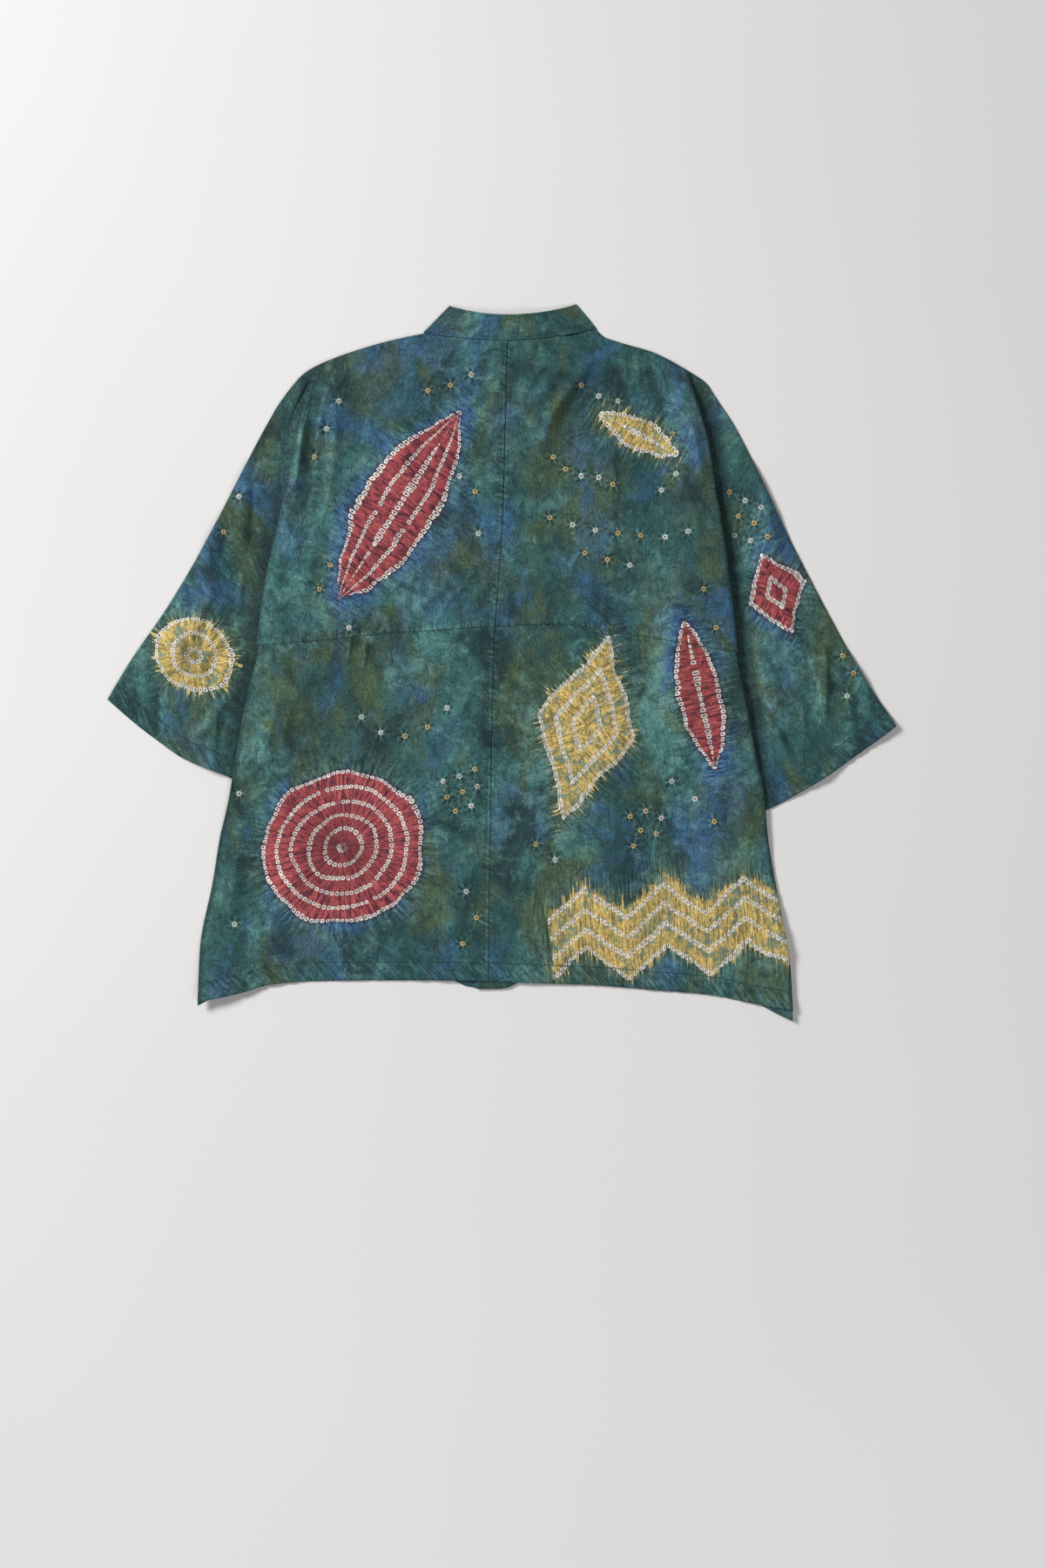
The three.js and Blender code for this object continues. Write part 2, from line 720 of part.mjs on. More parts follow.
const silk = (color) => new THREE.MeshStandardMaterial({ color, roughness: 0.48, metalness: 0 });
const shell = new THREE.MeshStandardMaterial({ color: 0x39454a, roughness: 0.3, metalness: 0 });

function piece(name, geometry, material) {
  const mesh = new THREE.Mesh(geometry, material);
  mesh.name = name;
  return mesh;
}

const shirt = new THREE.Group();
shirt.add(
  piece('back_upper_left', backUpper(LEFT), silk(0x3e5a63)),
  piece('back_upper_right', backUpper(RIGHT), silk(0x3e5a63)),
  piece('back_lower_left', backLower(LEFT), silk(0x3f5f66)),
  piece('back_lower_right', backLower(RIGHT), silk(0x3f5f66)),
  piece('front_left', front(LEFT, 'outer'), silk(0x35505a)),
  piece('front_right', front(RIGHT, 'inner'), silk(0x35505a)),
  piece('collar_stand', collar(), silk(0x35505a))
);

for (let i = 0; i < BUTTON.count; i++) {
  const mesh = piece(`button_${i + 1}`, button(), shell);
  const y = BUTTON.first - i * BUTTON.spacing;
  mesh.position.set(CENTRE.at(y).x, y, 0);
  shirt.add(mesh);
}

export default shirt;
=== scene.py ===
"""An oversized silk shirt laid flat on its front: its cloth, creases, stitching and dye.

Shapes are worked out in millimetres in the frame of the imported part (X across, Y towards
the collar, Z up) and written to the meshes in metres. A length called "out" runs outwards
from X = 0 on either side. Every cloth piece is a thin shell about the middle surface of
the solid that it replaces, with the finer creases and gathers added on top.
"""

import math
from types import SimpleNamespace

import bpy
import numpy as np
from bpy.props import FloatProperty, FloatVectorProperty, PointerProperty
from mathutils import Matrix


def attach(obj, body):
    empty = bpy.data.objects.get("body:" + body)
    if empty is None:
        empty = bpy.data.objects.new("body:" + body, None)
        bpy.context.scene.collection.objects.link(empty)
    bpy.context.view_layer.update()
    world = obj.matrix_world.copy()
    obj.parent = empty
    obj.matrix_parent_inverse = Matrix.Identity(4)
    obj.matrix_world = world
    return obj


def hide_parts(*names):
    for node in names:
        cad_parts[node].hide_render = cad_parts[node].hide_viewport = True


bl_info = {
    "name": "Silk shirt",
    "version": (1, 0, 0),
    "blender": (4, 5, 0),
    "location": "3D View > Sidebar > Silk shirt",
    "description": "Dresses the packed shirt in creased, gathered and dyed silk",
    "category": "Object",
}

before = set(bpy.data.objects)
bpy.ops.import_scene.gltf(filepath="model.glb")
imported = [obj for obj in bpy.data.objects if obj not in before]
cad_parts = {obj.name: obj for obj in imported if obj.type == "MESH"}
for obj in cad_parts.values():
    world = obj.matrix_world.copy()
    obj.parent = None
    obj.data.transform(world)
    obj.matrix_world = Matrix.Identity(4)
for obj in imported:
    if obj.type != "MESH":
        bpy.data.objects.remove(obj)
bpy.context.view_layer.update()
MM = 0.001

# The solids' own sizes
SOLID_CLOTH = 1.1
SEAM_GAP = 0.3
SEWN_GAP = 0.04
LAYER = SOLID_CLOTH + SEAM_GAP
FRONT_Z = SOLID_CLOTH / 2
BACK_Z = FRONT_Z + LAYER
LAP = 15
BUTTON_THICK = 2.2
BUTTON_LIFT = BUTTON_THICK + SEAM_GAP
BUTTON_ROW = SimpleNamespace(first=285, spacing=94, count=7)
FLAT_BY_CENTRE = 17
BACK_SLACK = 0.6
NECK_BACK_Y = 370
NECK_FRONT_Y = 300
COLLAR_BACK_TOP_Y = 399
COLLAR_FRONT_TOP_Y = 331
COLLAR_FOLD_RADIUS = 0.95
COLLAR_LEAN = 2
COLLAR_TOP_DROP = 0.4
COLLAR_SEAM_GAP = 0.6
EDGE_ROLL = 3
ALLOWANCE = 5.5
PAST_UNDER_FOLD = 7
PAST_BEND = 2
INSET_ENDS = 0.2
UPPER_ROWS = 13
LOWER_ROWS = 12
CENTRE_COLUMNS = (FLAT_BY_CENTRE, 57, 80)
FALL_COLUMNS = (0.3, 0.65)
# Between these turns, in degrees, a bend becomes a fold with cloth under it
FOLDED_TURN = (60, 150)
# A slope is read from this far to each side
SLOPE_STEP = 5
# Strips beside the body's folded edge over which the soft folds of the body, those of the
# sleeve, and the sleeve's finer height set in
SOFT_IN_BODY = (5, 35)
SOFT_IN_SLEEVE = (6, 26)
FINE_IN_SLEEVE = (3, 16)
# Lengths that the mesh spacings divide, and the sleeve's width against its last row's
UPPER_LENGTH = 350
LOWER_LENGTH = 400
SLEEVE_LENGTH = 225
COLLAR_HEIGHT = 34
SLEEVE_WIDENS = 1.25
# Cells across a side fold: upper bend, straight, lower bend
BACK_FOLD_CELLS = (7, 8, 4)
FRONT_FOLD_CELLS = (6, 4, 3)
ARMPIT_FOLD_CELLS = (4, 4, 3)
# A distance that counts as nowhere near
FAR = 60.0

# Buttons: radius, cells round, and where the four holes lie
BUTTON_RADIUS = 5.75
BUTTON_TURNS = 48
HOLE_OFFSET = 1.05

# The stage, in metres: lights by name with place, size, power and tint; what they look at;
# the room's light; the camera; and the floor in millimetres
LIGHTS = (
    ("window_light", (-3.54, 1.96, 2.94), 1.5, 282, (1.0, 0.992, 0.98)),
    ("fill_light", (0.85, -2.33, 2.47), 1.6, 35, (1.0, 0.99, 0.975)),
)
LIT_PLACE = (0.0, -0.05, 0.0)
ROOM_COLOUR = (0.94, 0.965, 1.0, 1)
ROOM_STRENGTH = 0.18
CAMERA_PLACE = (0.0245, -0.139, 3.0)
CAMERA_LENS = 60
CAMERA_SENSOR = 36
FLOOR_HALF = 3000
FLOOR_BELOW = 0.05


def mix(a, b, share):
    """The point a share of the way from a to b: a + (b - a) share."""
    return a + (b - a) * share


def ease(value, start, end):
    """Smooth step: 3 t^2 - 2 t^3, where t is how far value has come from start to end."""
    t = np.clip((value - start) / (end - start), 0, 1)
    return t * t * (3 - 2 * t)


def fall_off(share):
    """Falling half wave: (1 + cos(pi share)) / 2, which is 1 up to 0 and 0 from 1 on."""
    return (1 + np.cos(np.pi * np.clip(share, 0, 1))) / 2


class Table:
    """Named columns read along smooth curves: a cubic between each two rows, whose slope at
    a row is the harmonic mean of the steps on its two sides, or 0 where they turn round."""

    def __init__(self, names, *rows):
        self.names = names.split()
        self.rows = np.array(sorted(rows), float)
        key = self.rows[:, :1]
        step = np.diff(self.rows, axis=0) / np.diff(key, axis=0)
        before, after = step[:-1], step[1:]
        same = before * after > 0
        inner = np.where(same, 2 * before * after / np.where(same, before + after, 1), 0)
        self.slope = np.concatenate([step[:1], inner, step[-1:]])

    def at(self, value):
        """Every column at a value of the first one, by the cubic of the two rows round it: the
        rows weighted by (1 + 2 t) (1 - t)^2 and t^2 (3 - 2 t), the slopes by t (1 - t)^2 and
        -t^2 (1 - t)."""
        key = self.rows[:, 0]
        value = np.clip(value, key[0], key[-1])
        row = np.clip(np.searchsorted(key, value, side="right") - 1, 0, len(key) - 2)
        span = (key[row + 1] - key[row])[..., None]
        t = (value - key[row])[..., None] / span
        a, b = self.rows[row], self.rows[row + 1]
        leave, arrive = self.slope[row] * span, self.slope[row + 1] * span
        read = (
            a * (1 + 2 * t) * (1 - t) ** 2
            + b * t * t * (3 - 2 * t)
            + leave * t * (1 - t) ** 2
            - arrive * t * t * (1 - t)
        )
        return SimpleNamespace(**{name: read[..., i] for i, name in enumerate(self.names)})


CENTRE = Table("y x", (370, 8), (161, 2), (21, -7), (-224, -12), (-364, -14))

LEFT = SimpleNamespace(
    name="left",
    sign=-1,
    neck=SimpleNamespace(half=96.5, y=378),
    collar_top=SimpleNamespace(half=66, y=409),
    shoulder=Table(
        "out y",
        (88.5, 378), (122, 371), (165, 359), (205, 344), (225, 333), (245, 311), (259, 291),
    ),
    overarm=Table(
        "y out",
        (291, 259), (251, 281), (204, 305), (128, 345), (61, 385), (3, 425), (-42, 452),
    ),
    cuff=Table(
        "out y",
        (275, -149), (310, -132), (366, -109), (395, -89), (421, -69), (452, -42),
    ),
    fold=Table(
        "y out turn rise under tuck fall",
        (344, 205, 8, 0.8, 3, 0.5, 30),
        (290, 228, 16, 3, 4, 0.5, 32),
        (240, 240, 24, 5.5, 5, 0.5, 34),
        (210, 246, 45, 7.5, 3, 0.45, 36),
        (190, 250, 100, 8.6, 1.5, 0.35, 38),
        (165, 255, 165, 8.9, 5, 0.24, 40),
        (140, 261, 180, 8.7, 13, 0.2184, 44),
        (77, 273.5, 180, 8.7, 33, 0.2184, 48),
        (19, 281, 180, 8.7, 45, 0.2184, 50),
    ),
    waist=Table("out y", (5, 41), (135, 33), (195, 26), (281, 19)),
    hip=Table(
        "y out rise keep fall",
        (19, 281, 8.7, 55, 50),
        (-58, 295.5, 6, 54, 50),
        (-116, 305.5, 4.2, 50, 50),
        (-160, 313, 3.6, 48, 50),
        (-200, 322.5, 1, 40, 50),
        (-249, 330.5, 0.2, 30, 50),
        (-329, 345.5, 0, 30, 50),
        (-389, 347.5, 0, 30, 50),
    ),
    hem=Table(
        "out y",
        (14, -365), (120, -364), (215, -365), (263, -369), (300, -379), (347.5, -389),
    ),
    front_peek=Table("out down", (14, 9), (40, 6), (61, -2), (325, -2), (347.5, 4)),
    armpit_across_y=93,
)

RIGHT = SimpleNamespace(
    name="right",
    sign=1,
    neck=SimpleNamespace(half=100, y=383),
    collar_top=SimpleNamespace(half=77, y=411),
    shoulder=Table(
        "out y",
        (108, 383), (118, 374), (135, 368), (175, 356), (214, 335), (235, 321), (245, 306),
    ),
    overarm=Table(
        "y out",
        (306, 245), (271, 268), (218, 295), (134, 335), (57, 375), (-15, 415), (-73, 453),
    ),
    cuff=Table(
        "out y",
        (276, -182), (311, -166), (343, -149), (376, -129), (404, -109), (432, -89), (453, -73),
    ),
    fold=Table(
        "y out turn rise under tuck fall",
        (335, 214, 14, 1.6, 3, 0.5, 30),
        (318, 219, 50, 5, 3, 0.5, 32),
        (302, 225, 110, 8, 1.5, 0.35, 34),
        (280, 232, 168, 8.9, 6, 0.24, 36),
        (254, 239.5, 180, 8.7, 13, 0.2184, 40),
        (188, 249.5, 180, 8.7, 24, 0.2184, 44),
        (126, 259.5, 180, 8.7, 33, 0.2184, 48),
        (11, 273.5, 180, 8.7, 45, 0.2184, 50),
    ),
    waist=Table("out y", (-5, 41), (65, 44), (125, 36), (273.5, 11)),
    hip=Table(
        "y out rise keep fall",
        (11, 273.5, 8.7, 55, 50),
        (-85, 288.5, 5.4, 54, 50),
        (-158, 302.5, 4, 50, 50),
        (-192, 305, 3.6, 48, 50),
        (-232, 311, 1, 40, 50),
        (-289, 321.5, 0.2, 30, 50),
        (-349, 331.5, 0, 30, 50),
        (-399, 334.5, 0, 30, 50),
    ),
    hem=Table(
        "out y",
        (-14, -365), (27, -367), (110, -370), (170, -375), (240, -381), (290, -391), (334.5, -399),
    ),
    front_peek=Table("out down", (-14, 9), (5, 7), (27, -2), (285, -2), (320, 8), (334.5, 12)),
    armpit_across_y=92,
)

# Soft folds, as in the solids: both ends, width and height
SOFT_FOLDS = (
    (-293, 238, -299, 120, 13, 3.2),
    (-325, 178, -338, 96, 11, 2.2),
    (-352, 60, -396, -40, 16, 2.6),
    (303, 45, 326, -112, 13, 3.4),
    (366, 20, 371, -112, 14, 4),
    (300, 190, 318, 90, 15, 2.4),
    (78, 352, 2, 262, 15, 2.6),
    (-118, 330, -98, 120, 32, 2.6),
    (132, 318, 118, 96, 32, 2.6),
    (-168, 182, -192, -70, 24, 3),
    (176, 120, 196, -60, 24, 2.4),
    (-58, 30, -122, -300, 36, 3),
    (96, 28, 150, -330, 38, 3),
    (-226, -150, -262, -352, 26, 3),
    (236, -130, 252, -352, 28, 2.6),
)

# Where the edge stands clear of the surface, as in the solids: place, reach and height
EDGE_LIFTS = (
    (-336, -392, 120, 11),
    (338, -325, 95, 7),
    (336, -405, 80, 5),
    (-335, -122, 60, 6),
    (449, -78, 75, 5),
    (372, -134, 60, 5),
)

# Fine creases in the back: both ends, bow to the left of the way from the first end to the
# second, width and height. A crease lower than the cloth round it has a negative height.
CREASES = (
    # beside the upper centre back seam and under the collar
    (1, 366, -7, 172, 0, 12, 2.0),
    (60, 372, 124, 364, -3, 4.5, 2.0),
    (112, 350, 40, 236, -10, 10, 3.4),
    (120, 340, 66, 250, -8, 6, -1.0),
    (-60, 300, -20, 190, 8, 13, 1.6),
    (90, 343, 14, 268, 4, 5, -0.7),
    (66, 352, 22, 300, -5, 4, 1.6),
    (-12, 356, -66, 322, 6, 4, 0.9),
    (-30, 366, -96, 350, 5, 3.5, 0.8),
    (28, 364, 58, 366, 3, 3, 0.8),
    (-8, 240, -52, 176, -8, 5, 0.8),
    (12, 236, 44, 190, 6, 5, 0.7),
    # under the two shoulders
    (-225, 328, -238, 186, 3, 7, 4.0),
    (-188, 334, -201, 168, 3, 9, 2.8),
    (-214, 160, -232, 62, 5, 10, 2.4),
    (206, 312, 232, 180, 5, 10, 2.4),
    (-206, 327, -222, 165, -6, 5, -0.7),
    (-196, 322, -212, 190, -6, 5, 1.3),
    (-150, 352, -166, 322, 3, 3.5, 0.9),
    (-176, 345, -190, 312, 3, 3.5, 0.8),
    (139, 357, 143, 322, 2, 3.5, 1.0),
    (152, 352, 158, 314, 3, 3.5, 1.1),
    (166, 346, 173, 306, -3, 3.5, 1.2),
    (180, 340, 190, 300, 3, 3.5, 1.1),
    (196, 328, 208, 286, 4, 4, 0.9),
    # across the middle of the upper back
    (-84, 262, -160, 214, 8, 6, 1.0),
    (-132, 118, -214, 100, -7, 6, 1.0),
    (84, 214, 168, 236, 7, 6, 0.9),
    (62, 130, 142, 98, -6, 5, 0.8),
    (196, 230, 226, 120, 9, 7, 1.2),
    (-60, 96, -104, 58, 4, 4, 1.0),
    # pulled into the waist seam
    (-30, 111, -70, 61, 5, 4, 1.0),
    (-155, 26, -157, -6, 0, 3.5, 1.2),
    (-172, 52, -178, -4, 3, 4, 1.1),
    (-104, 64, -112, 20, 3, 4, 1.0),
    (-228, 60, -206, 24, 5, 4, 0.9),
    (52, 74, 46, 34, 2, 3.5, 0.8),
    (118, 70, 128, 26, -4, 4, 1.0),
    (206, 66, 198, 14, 4, 4.5, 1.1),
    # the lower back
    (-250, -20, -286, -140, 4, 12, 2.6),
    (-20, -30, -38, -190, 4, 12, 2.2),
    (188, 0, 226, -120, -6, 13, 2.6),
    (266, -120, 290, -260, 5, 13, 2.4),
    (-150, -330, -60, -352, 8, 9, 1.8),
    (-300, -180, -318, -300, 5, 12, 2.4),
    (-30, -18, -76, -88, 8, 6, 0.9),
    (36, -24, 64, -104, -8, 6, 0.9),
    (-224, -22, -250, -120, -9, 7, 1.2),
    (-96, -70, -60, -190, 10, 8, 0.9),
    (236, -18, 262, -110, 8, 6, 1.1),
    (214, -60, 176, -160, 9, 7, 0.9),
    (-16, -212, -60, -320, -10, 8, 1.0),
    (30, -220, 64, -322, 9, 8, 0.9),
    (-268, -328, -226, -362, 6, 4, 1.3),
    (-300, -322, -262, -366, 5, 4.5, 1.2),
    (-330, -300, -300, -352, 5, 5, 0.9),
    (296, -330, 268, -372, -5, 4.5, 1.0),
    # the left sleeve
    (-322, 120, -370, 10, 6, 11, 2.4),
    (-300, -30, -352, -104, -6, 9, 2.2),
    (-287, 225, -291, 118, 4, 4, -0.7),
    (-317, 168, -327, 104, 4, 4, -0.7),
    (-296, 90, -338, 18, -7, 5, 1.3),
    (-300, 40, -352, -18, -7, 5, 1.1),
    (-318, -20, -380, -76, 8, 5, 1.2),
    (-360, 86, -398, 30, 6, 5, 0.8),
    (-313, -40, -317, -126, 0, 8, -1.0),
    (-325, -40, -330, -128, 0, 6, 2.2),
    (-296, 112, -306, 40, 2, 4, 1.4),
    (-304, 120, -318, 52, 3, 4, -0.9),
    # the right sleeve
    (286, 236, 312, 120, 6, 12, 2.6),
    (330, 20, 352, -118, 4, 11, 3.0),
    (400, 20, 424, -70, 4, 10, 2.2),
    (300, 21, 330, -119, 6, 5, -0.7),
    (345, 40, 350, -100, 6, 5, -0.6),
    (290, 160, 330, 60, -7, 5, 1.2),
    (296, 96, 344, 10, 7, 5, 1.0),
    (352, 56, 398, -24, -8, 5, 0.9),
    (392, -10, 402, -96, 5, 5, 1.0),
    (300, -60, 312, -150, 4, 4.5, 1.2),
    (371, 24, 369, -76, 2, 3.2, 1.6),
    (362, 12, 361, -84, 2, 5, -1.1),
    (292, 22, 318, -30, 2, 3.2, 1.2),
    (284, -30, 334, -122, 5, 4, 1.6),
    (292, -34, 342, -118, 5, 5, -1.0),
)

# The generic gathered figures: kind, zone, colour, middle, two half sizes and tilt in degrees
FIGURES = (
    ("roundel", "body", "red", -182, -212, 94, 84, 24),
    ("lozenge", "body", "ochre", 98, -72, 58, 104, -14),
    ("leaf", "body", "red", -118, 178, 42, 128, -33),
    ("zigzag", "body", "ochre", 208, -300, 150, 30, 4),
    ("lozenge", "sleeve", "red", 316, 80, 34, 50, 22),
    ("roundel", "sleeve", "ochre", -352, 8, 44, 39, -35),
    ("leaf", "body", "ochre", 158, 262, 15, 46, 62),
    ("leaf", "body", "red", 228, -38, 25, 82, 12),
)
ROW_SPACING = 18
DOT_PITCH = 6.2
RIDGE_WIDTH = 4.6
RIDGE_LENGTH = 15
GATHER_REACH = 17
# The zigzag's wave: how long, how high, and how far along it starts
ZIGZAG_LENGTH = 92
ZIGZAG_HEIGHT = 34
ZIGZAG_START = 0.2
# The dots of a row this near to each other are joined by a crease
DOT_JOIN = 34
# How far round a tied dot the cloth is drawn up
DOT_REACH = 30

# Tied dots, listed one by one, in short arcs and loose groups
TIED_DOTS = (
    (92, 318), (112, 306), (134, 300), (196, 262), (206, 240), (200, 216), (184, 198),
    (60, 236), (74, 222), (92, 214), (112, 212), (128, 204), (56, 166), (82, 158), (108, 152),
    (134, 148), (160, 146), (188, 144), (214, 150), (96, 126), (122, 118), (148, 112),
    (-34, 330), (-58, 318), (-84, 312), (-200, 268), (-186, 300), (-214, 236), (-30, 196),
    (-48, 214), (-26, 148), (-196, 112), (-208, 84), (-174, 40), (-62, -52), (-84, -74),
    (-110, -84), (-138, -80), (-160, -62), (232, 84), (246, 40), (196, -136), (222, -156),
    (244, -182), (40, -208), (62, -226), (-40, -262), (-28, -292), (-44, -322), (-300, -150),
    (-306, -300), (392, 8), (404, -12), (397, -38), (-300, 190), (-318, 150),
    (262, 196), (280, 186), (298, 178), (290, 160), (272, 168), (268, 146), (286, 140), (305, 144),
    (-30, -122), (-48, -130), (-66, -136), (-62, -154), (-44, -148), (-27, -142), (-34, -164),
    (-52, -170), (148, -176), (166, -170), (184, -178), (178, -196), (160, -192), (152, -210),
)

# A fine crease from each tied dot to the next when they are near
DOT_CREASES = tuple(
    (*here, *following, 0, 2.4, 0.9)
    for here, following in zip(TIED_DOTS, TIED_DOTS[1:])
    if math.dist(here, following) < DOT_JOIN
)


def soft_folds(x, y):
    """Sum of ridges. Each is high sin(pi s) exp(-(d / wide)^2), where s is the share of the
    way along the line between its ends and d the distance from that line."""
    height = np.zeros_like(x)
    for x0, y0, x1, y1, wide, high in SOFT_FOLDS:
        along = np.array([x1 - x0, y1 - y0], float)
        share = np.clip(((x - x0) * along[0] + (y - y0) * along[1]) / (along @ along), 0, 1)
        away = np.hypot(x - x0 - share * along[0], y - y0 - share * along[1])
        height += high * np.sin(np.pi * share) * np.exp(-((away / wide) ** 2))
    return height


def edge_lift(x, y):
    """Sum over the lifts of high (1 - d / reach)^2, where d is the distance from the lift."""
    height = np.zeros_like(x)
    for px, py, reach, high in EDGE_LIFTS:
        height += high * np.clip(1 - np.hypot(x - px, y - py) / reach, 0, 1) ** 2
    return height


def creases(x, y, table):
    """Sum of narrow bent ridges. With s the share of the way along the bowed line and d the
    signed distance from it: high sin(pi s)^0.7 (exp(-|d / w|^1.4) - exp(-u^2) / 3) with
    u = (d - 2 w) / 1.6 w, a ridge with a shallower trough beside it."""
    height = np.zeros_like(x)
    for x0, y0, x1, y1, bow, wide, high in table:
        reach = abs(bow) + 5 * wide
        near = (x > min(x0, x1) - reach) & (x < max(x0, x1) + reach)
        near &= (y > min(y0, y1) - reach) & (y < max(y0, y1) + reach)
        if not near.any():
            continue
        length = math.hypot(x1 - x0, y1 - y0)
        way = ((x1 - x0) / length, (y1 - y0) / length)
        px, py = x[near] - x0, y[near] - y0
        share = np.clip((px * way[0] + py * way[1]) / length, 0, 1)
        away = py * way[0] - px * way[1] - bow * np.sin(np.pi * share)
        taper = np.sin(np.pi * share) ** 0.7
        beside = np.exp(-(((away - 2 * wide) / (1.6 * wide)) ** 2)) / 3
        height[near] += high * taper * (np.exp(-(np.abs(away / wide) ** 1.4)) - beside)
    return height


CELLS = 48
LATTICE = np.random.default_rng(20).random((CELLS, CELLS, CELLS)) * 2 - 1


def noise(*coordinates):
    """Smooth noise from -1 to 1: a lattice of seeded numbers, mixed by smooth steps along
    each of up to three coordinates, with one unit to a cell."""
    shape = np.broadcast_shapes(*(np.shape(c) for c in coordinates))
    axes = [np.broadcast_to(c, shape) for c in coordinates]
    axes += [np.zeros(shape)] * (3 - len(axes))
    cells = [np.floor(a).astype(int) for a in axes]
    shares = [a - c for a, c in zip(axes, cells)]
    shares = [s * s * (3 - 2 * s) for s in shares]
    total = np.zeros(shape)
    for corner in range(8):
        steps = [(corner >> axis) & 1 for axis in range(3)]
        weight = np.ones(shape)
        for share, step in zip(shares, steps):
            weight = weight * (share if step else 1 - share)
        i, j, k = ((c + s) % CELLS for c, s in zip(cells, steps))
        total += weight * LATTICE[i, j, k]
    return total


# Figures: where the cloth is stitched in rows and gathered


def figure_field(kind, x, y, a, b):
    """What a figure is at points given from its middle: distance outside its outline, the
    distance in from it (q), the distance along its rows (s), and noise coordinates: the
    second runs in from the outline, the others along the rows, one unit to a ridge.
    Roundel: |(x, y a / b)| - a. Lozenge: |x| / a + |y| / b - 1, scaled to a distance.
    Leaf: |x| less the half width a (1 - (y / b)^2), and rows at even shares of that width.
    Zigzag: |y - triangle wave of x| less b."""
    if kind == "roundel":
        radius, angle = np.hypot(x, y * a / b), np.arctan2(y, x)
        inward = a - radius
        row = a - np.round(inward / ROW_SPACING) * ROW_SPACING
        dots = np.maximum(np.round(np.pi * np.maximum(row, 1) / DOT_PITCH), 1)
        along = np.abs(angle) / np.pi * dots * DOT_PITCH
        ring = a / RIDGE_WIDTH * 0.8
        ridges = (ring * np.cos(angle), inward / RIDGE_LENGTH, ring * np.sin(angle))
        return -inward, inward, along, ridges
    if kind == "lozenge":
        slant = math.hypot(a, b)
        outside = (np.abs(x) / a + np.abs(y) / b - 1) * a * b / slant
        along = np.abs(x) * slant / a
        angle = np.arctan2(y * a, x * b)
        across = (np.abs(x) * a - np.abs(y) * b) / slant
        ridges = (across / RIDGE_WIDTH, outside / RIDGE_LENGTH + 2 * np.sin(angle), 2 * np.cos(angle))
        return outside, -outside, along, ridges
    if kind == "leaf":
        half = a * np.clip(1 - (y / b) ** 2, 0, 1)
        outside = np.where(np.abs(y) < b, np.abs(x) - half, np.hypot(x, np.abs(y) - b))
        rows = ROW_SPACING * max(round(a / ROW_SPACING), 1)
        inward = np.where(outside > 0, -outside, rows * (1 - np.abs(x) / np.maximum(half, 1)))
        ridges = (y / RIDGE_WIDTH, x / RIDGE_LENGTH + 7, np.zeros_like(x))
        return outside, inward, y + b, ridges
    wave = 2 * np.abs((x / ZIGZAG_LENGTH + ZIGZAG_START) % 1 - 0.5)
    slant = math.hypot(1, ZIGZAG_HEIGHT * 2 / ZIGZAG_LENGTH)
    level = (y - ZIGZAG_HEIGHT * (wave - 0.5)) / slant
    outside = np.maximum(np.abs(level) - b, np.abs(x) - a)
    along = x * slant
    ridges = (along / RIDGE_WIDTH, level / RIDGE_LENGTH, np.full_like(x, 4.5))
    return outside, level + b, along, ridges


def figures(x, y, on_sleeve):
    """The nearest figure at every point: distance outside the red and the ochre ones, halo,
    distance in from its outline and along its rows, noise coordinates and gather strength."""
    shape = np.shape(x)
    red, ochre, nearest = (np.full(shape, FAR) for _ in range(3))
    inward, along = np.full(shape, -FAR), np.zeros(shape)
    ridges = np.stack([x / 30, y / 30, np.zeros(shape)], axis=-1)
    for kind, zone, colour, px, py, a, b, tilt in FIGURES:
        angle = math.radians(tilt)
        dx, dy = x - px, y - py
        near = np.maximum(np.abs(dx), np.abs(dy)) < max(a, b) + FAR
        near &= on_sleeve if zone == "sleeve" else ~on_sleeve
        dx, dy = dx[near], dy[near]
        u = dx * math.cos(angle) + dy * math.sin(angle)
        v = dy * math.cos(angle) - dx * math.sin(angle)
        outside, q, s, coordinates = figure_field(kind, u, v, a, b)
        wander = 4.5 * noise(dx / 31, dy / 31, px)
        wander += 1.8 * noise(dx / 12, dy / 12, py) + 0.8 * noise(dx / 5, dy / 5)
        within = np.exp(-np.maximum(q, 0) / 14)
        waver = 1.2 * noise(dx / 11, dy / 11, 9) + 2 * noise(dx / 27, dy / 27, 4)
        outside, q = outside + wander, q - wander * within - waver * (1 - within)
        colours = red if colour == "red" else ochre
        colours[near] = np.minimum(colours[near], outside)
        closest = outside < nearest[near]
        spots = np.flatnonzero(near)[closest]
        nearest.flat[spots] = outside[closest]
        inward.flat[spots] = q[closest]
        along.flat[spots] = s[closest]
        for axis in range(3):
            ridges[..., axis].flat[spots] = coordinates[axis][closest]
    return SimpleNamespace(
        red=red, ochre=ochre, nearest=nearest, inward=inward, along=along, ridges=ridges,
        halo=np.exp(-np.clip(nearest, 0, FAR) / GATHER_REACH),
    )


def gathers(field, height):
    """Height of the gathered cloth: ridges across the rows, which fall towards each stitched
    row, and a slow rise between rows; outside the outline the ridges fade as exp(-d / reach)."""
    a, b, c = (field.ridges[..., axis] for axis in range(3))
    ridge = noise(a, b, c) + 0.5 * noise(a * 2.1 + 9, b * 1.5, c + 3)
    between = np.abs(np.sin(np.pi * field.inward / ROW_SPACING))
    inside = ease(-field.nearest, -2, 3)
    puff = inside * (0.35 + 0.65 * between)
    outer = (1 - inside) * field.halo * (0.7 * ridge + 0.15)
    return height * (puff * (0.75 + 0.95 * ridge) + outer)


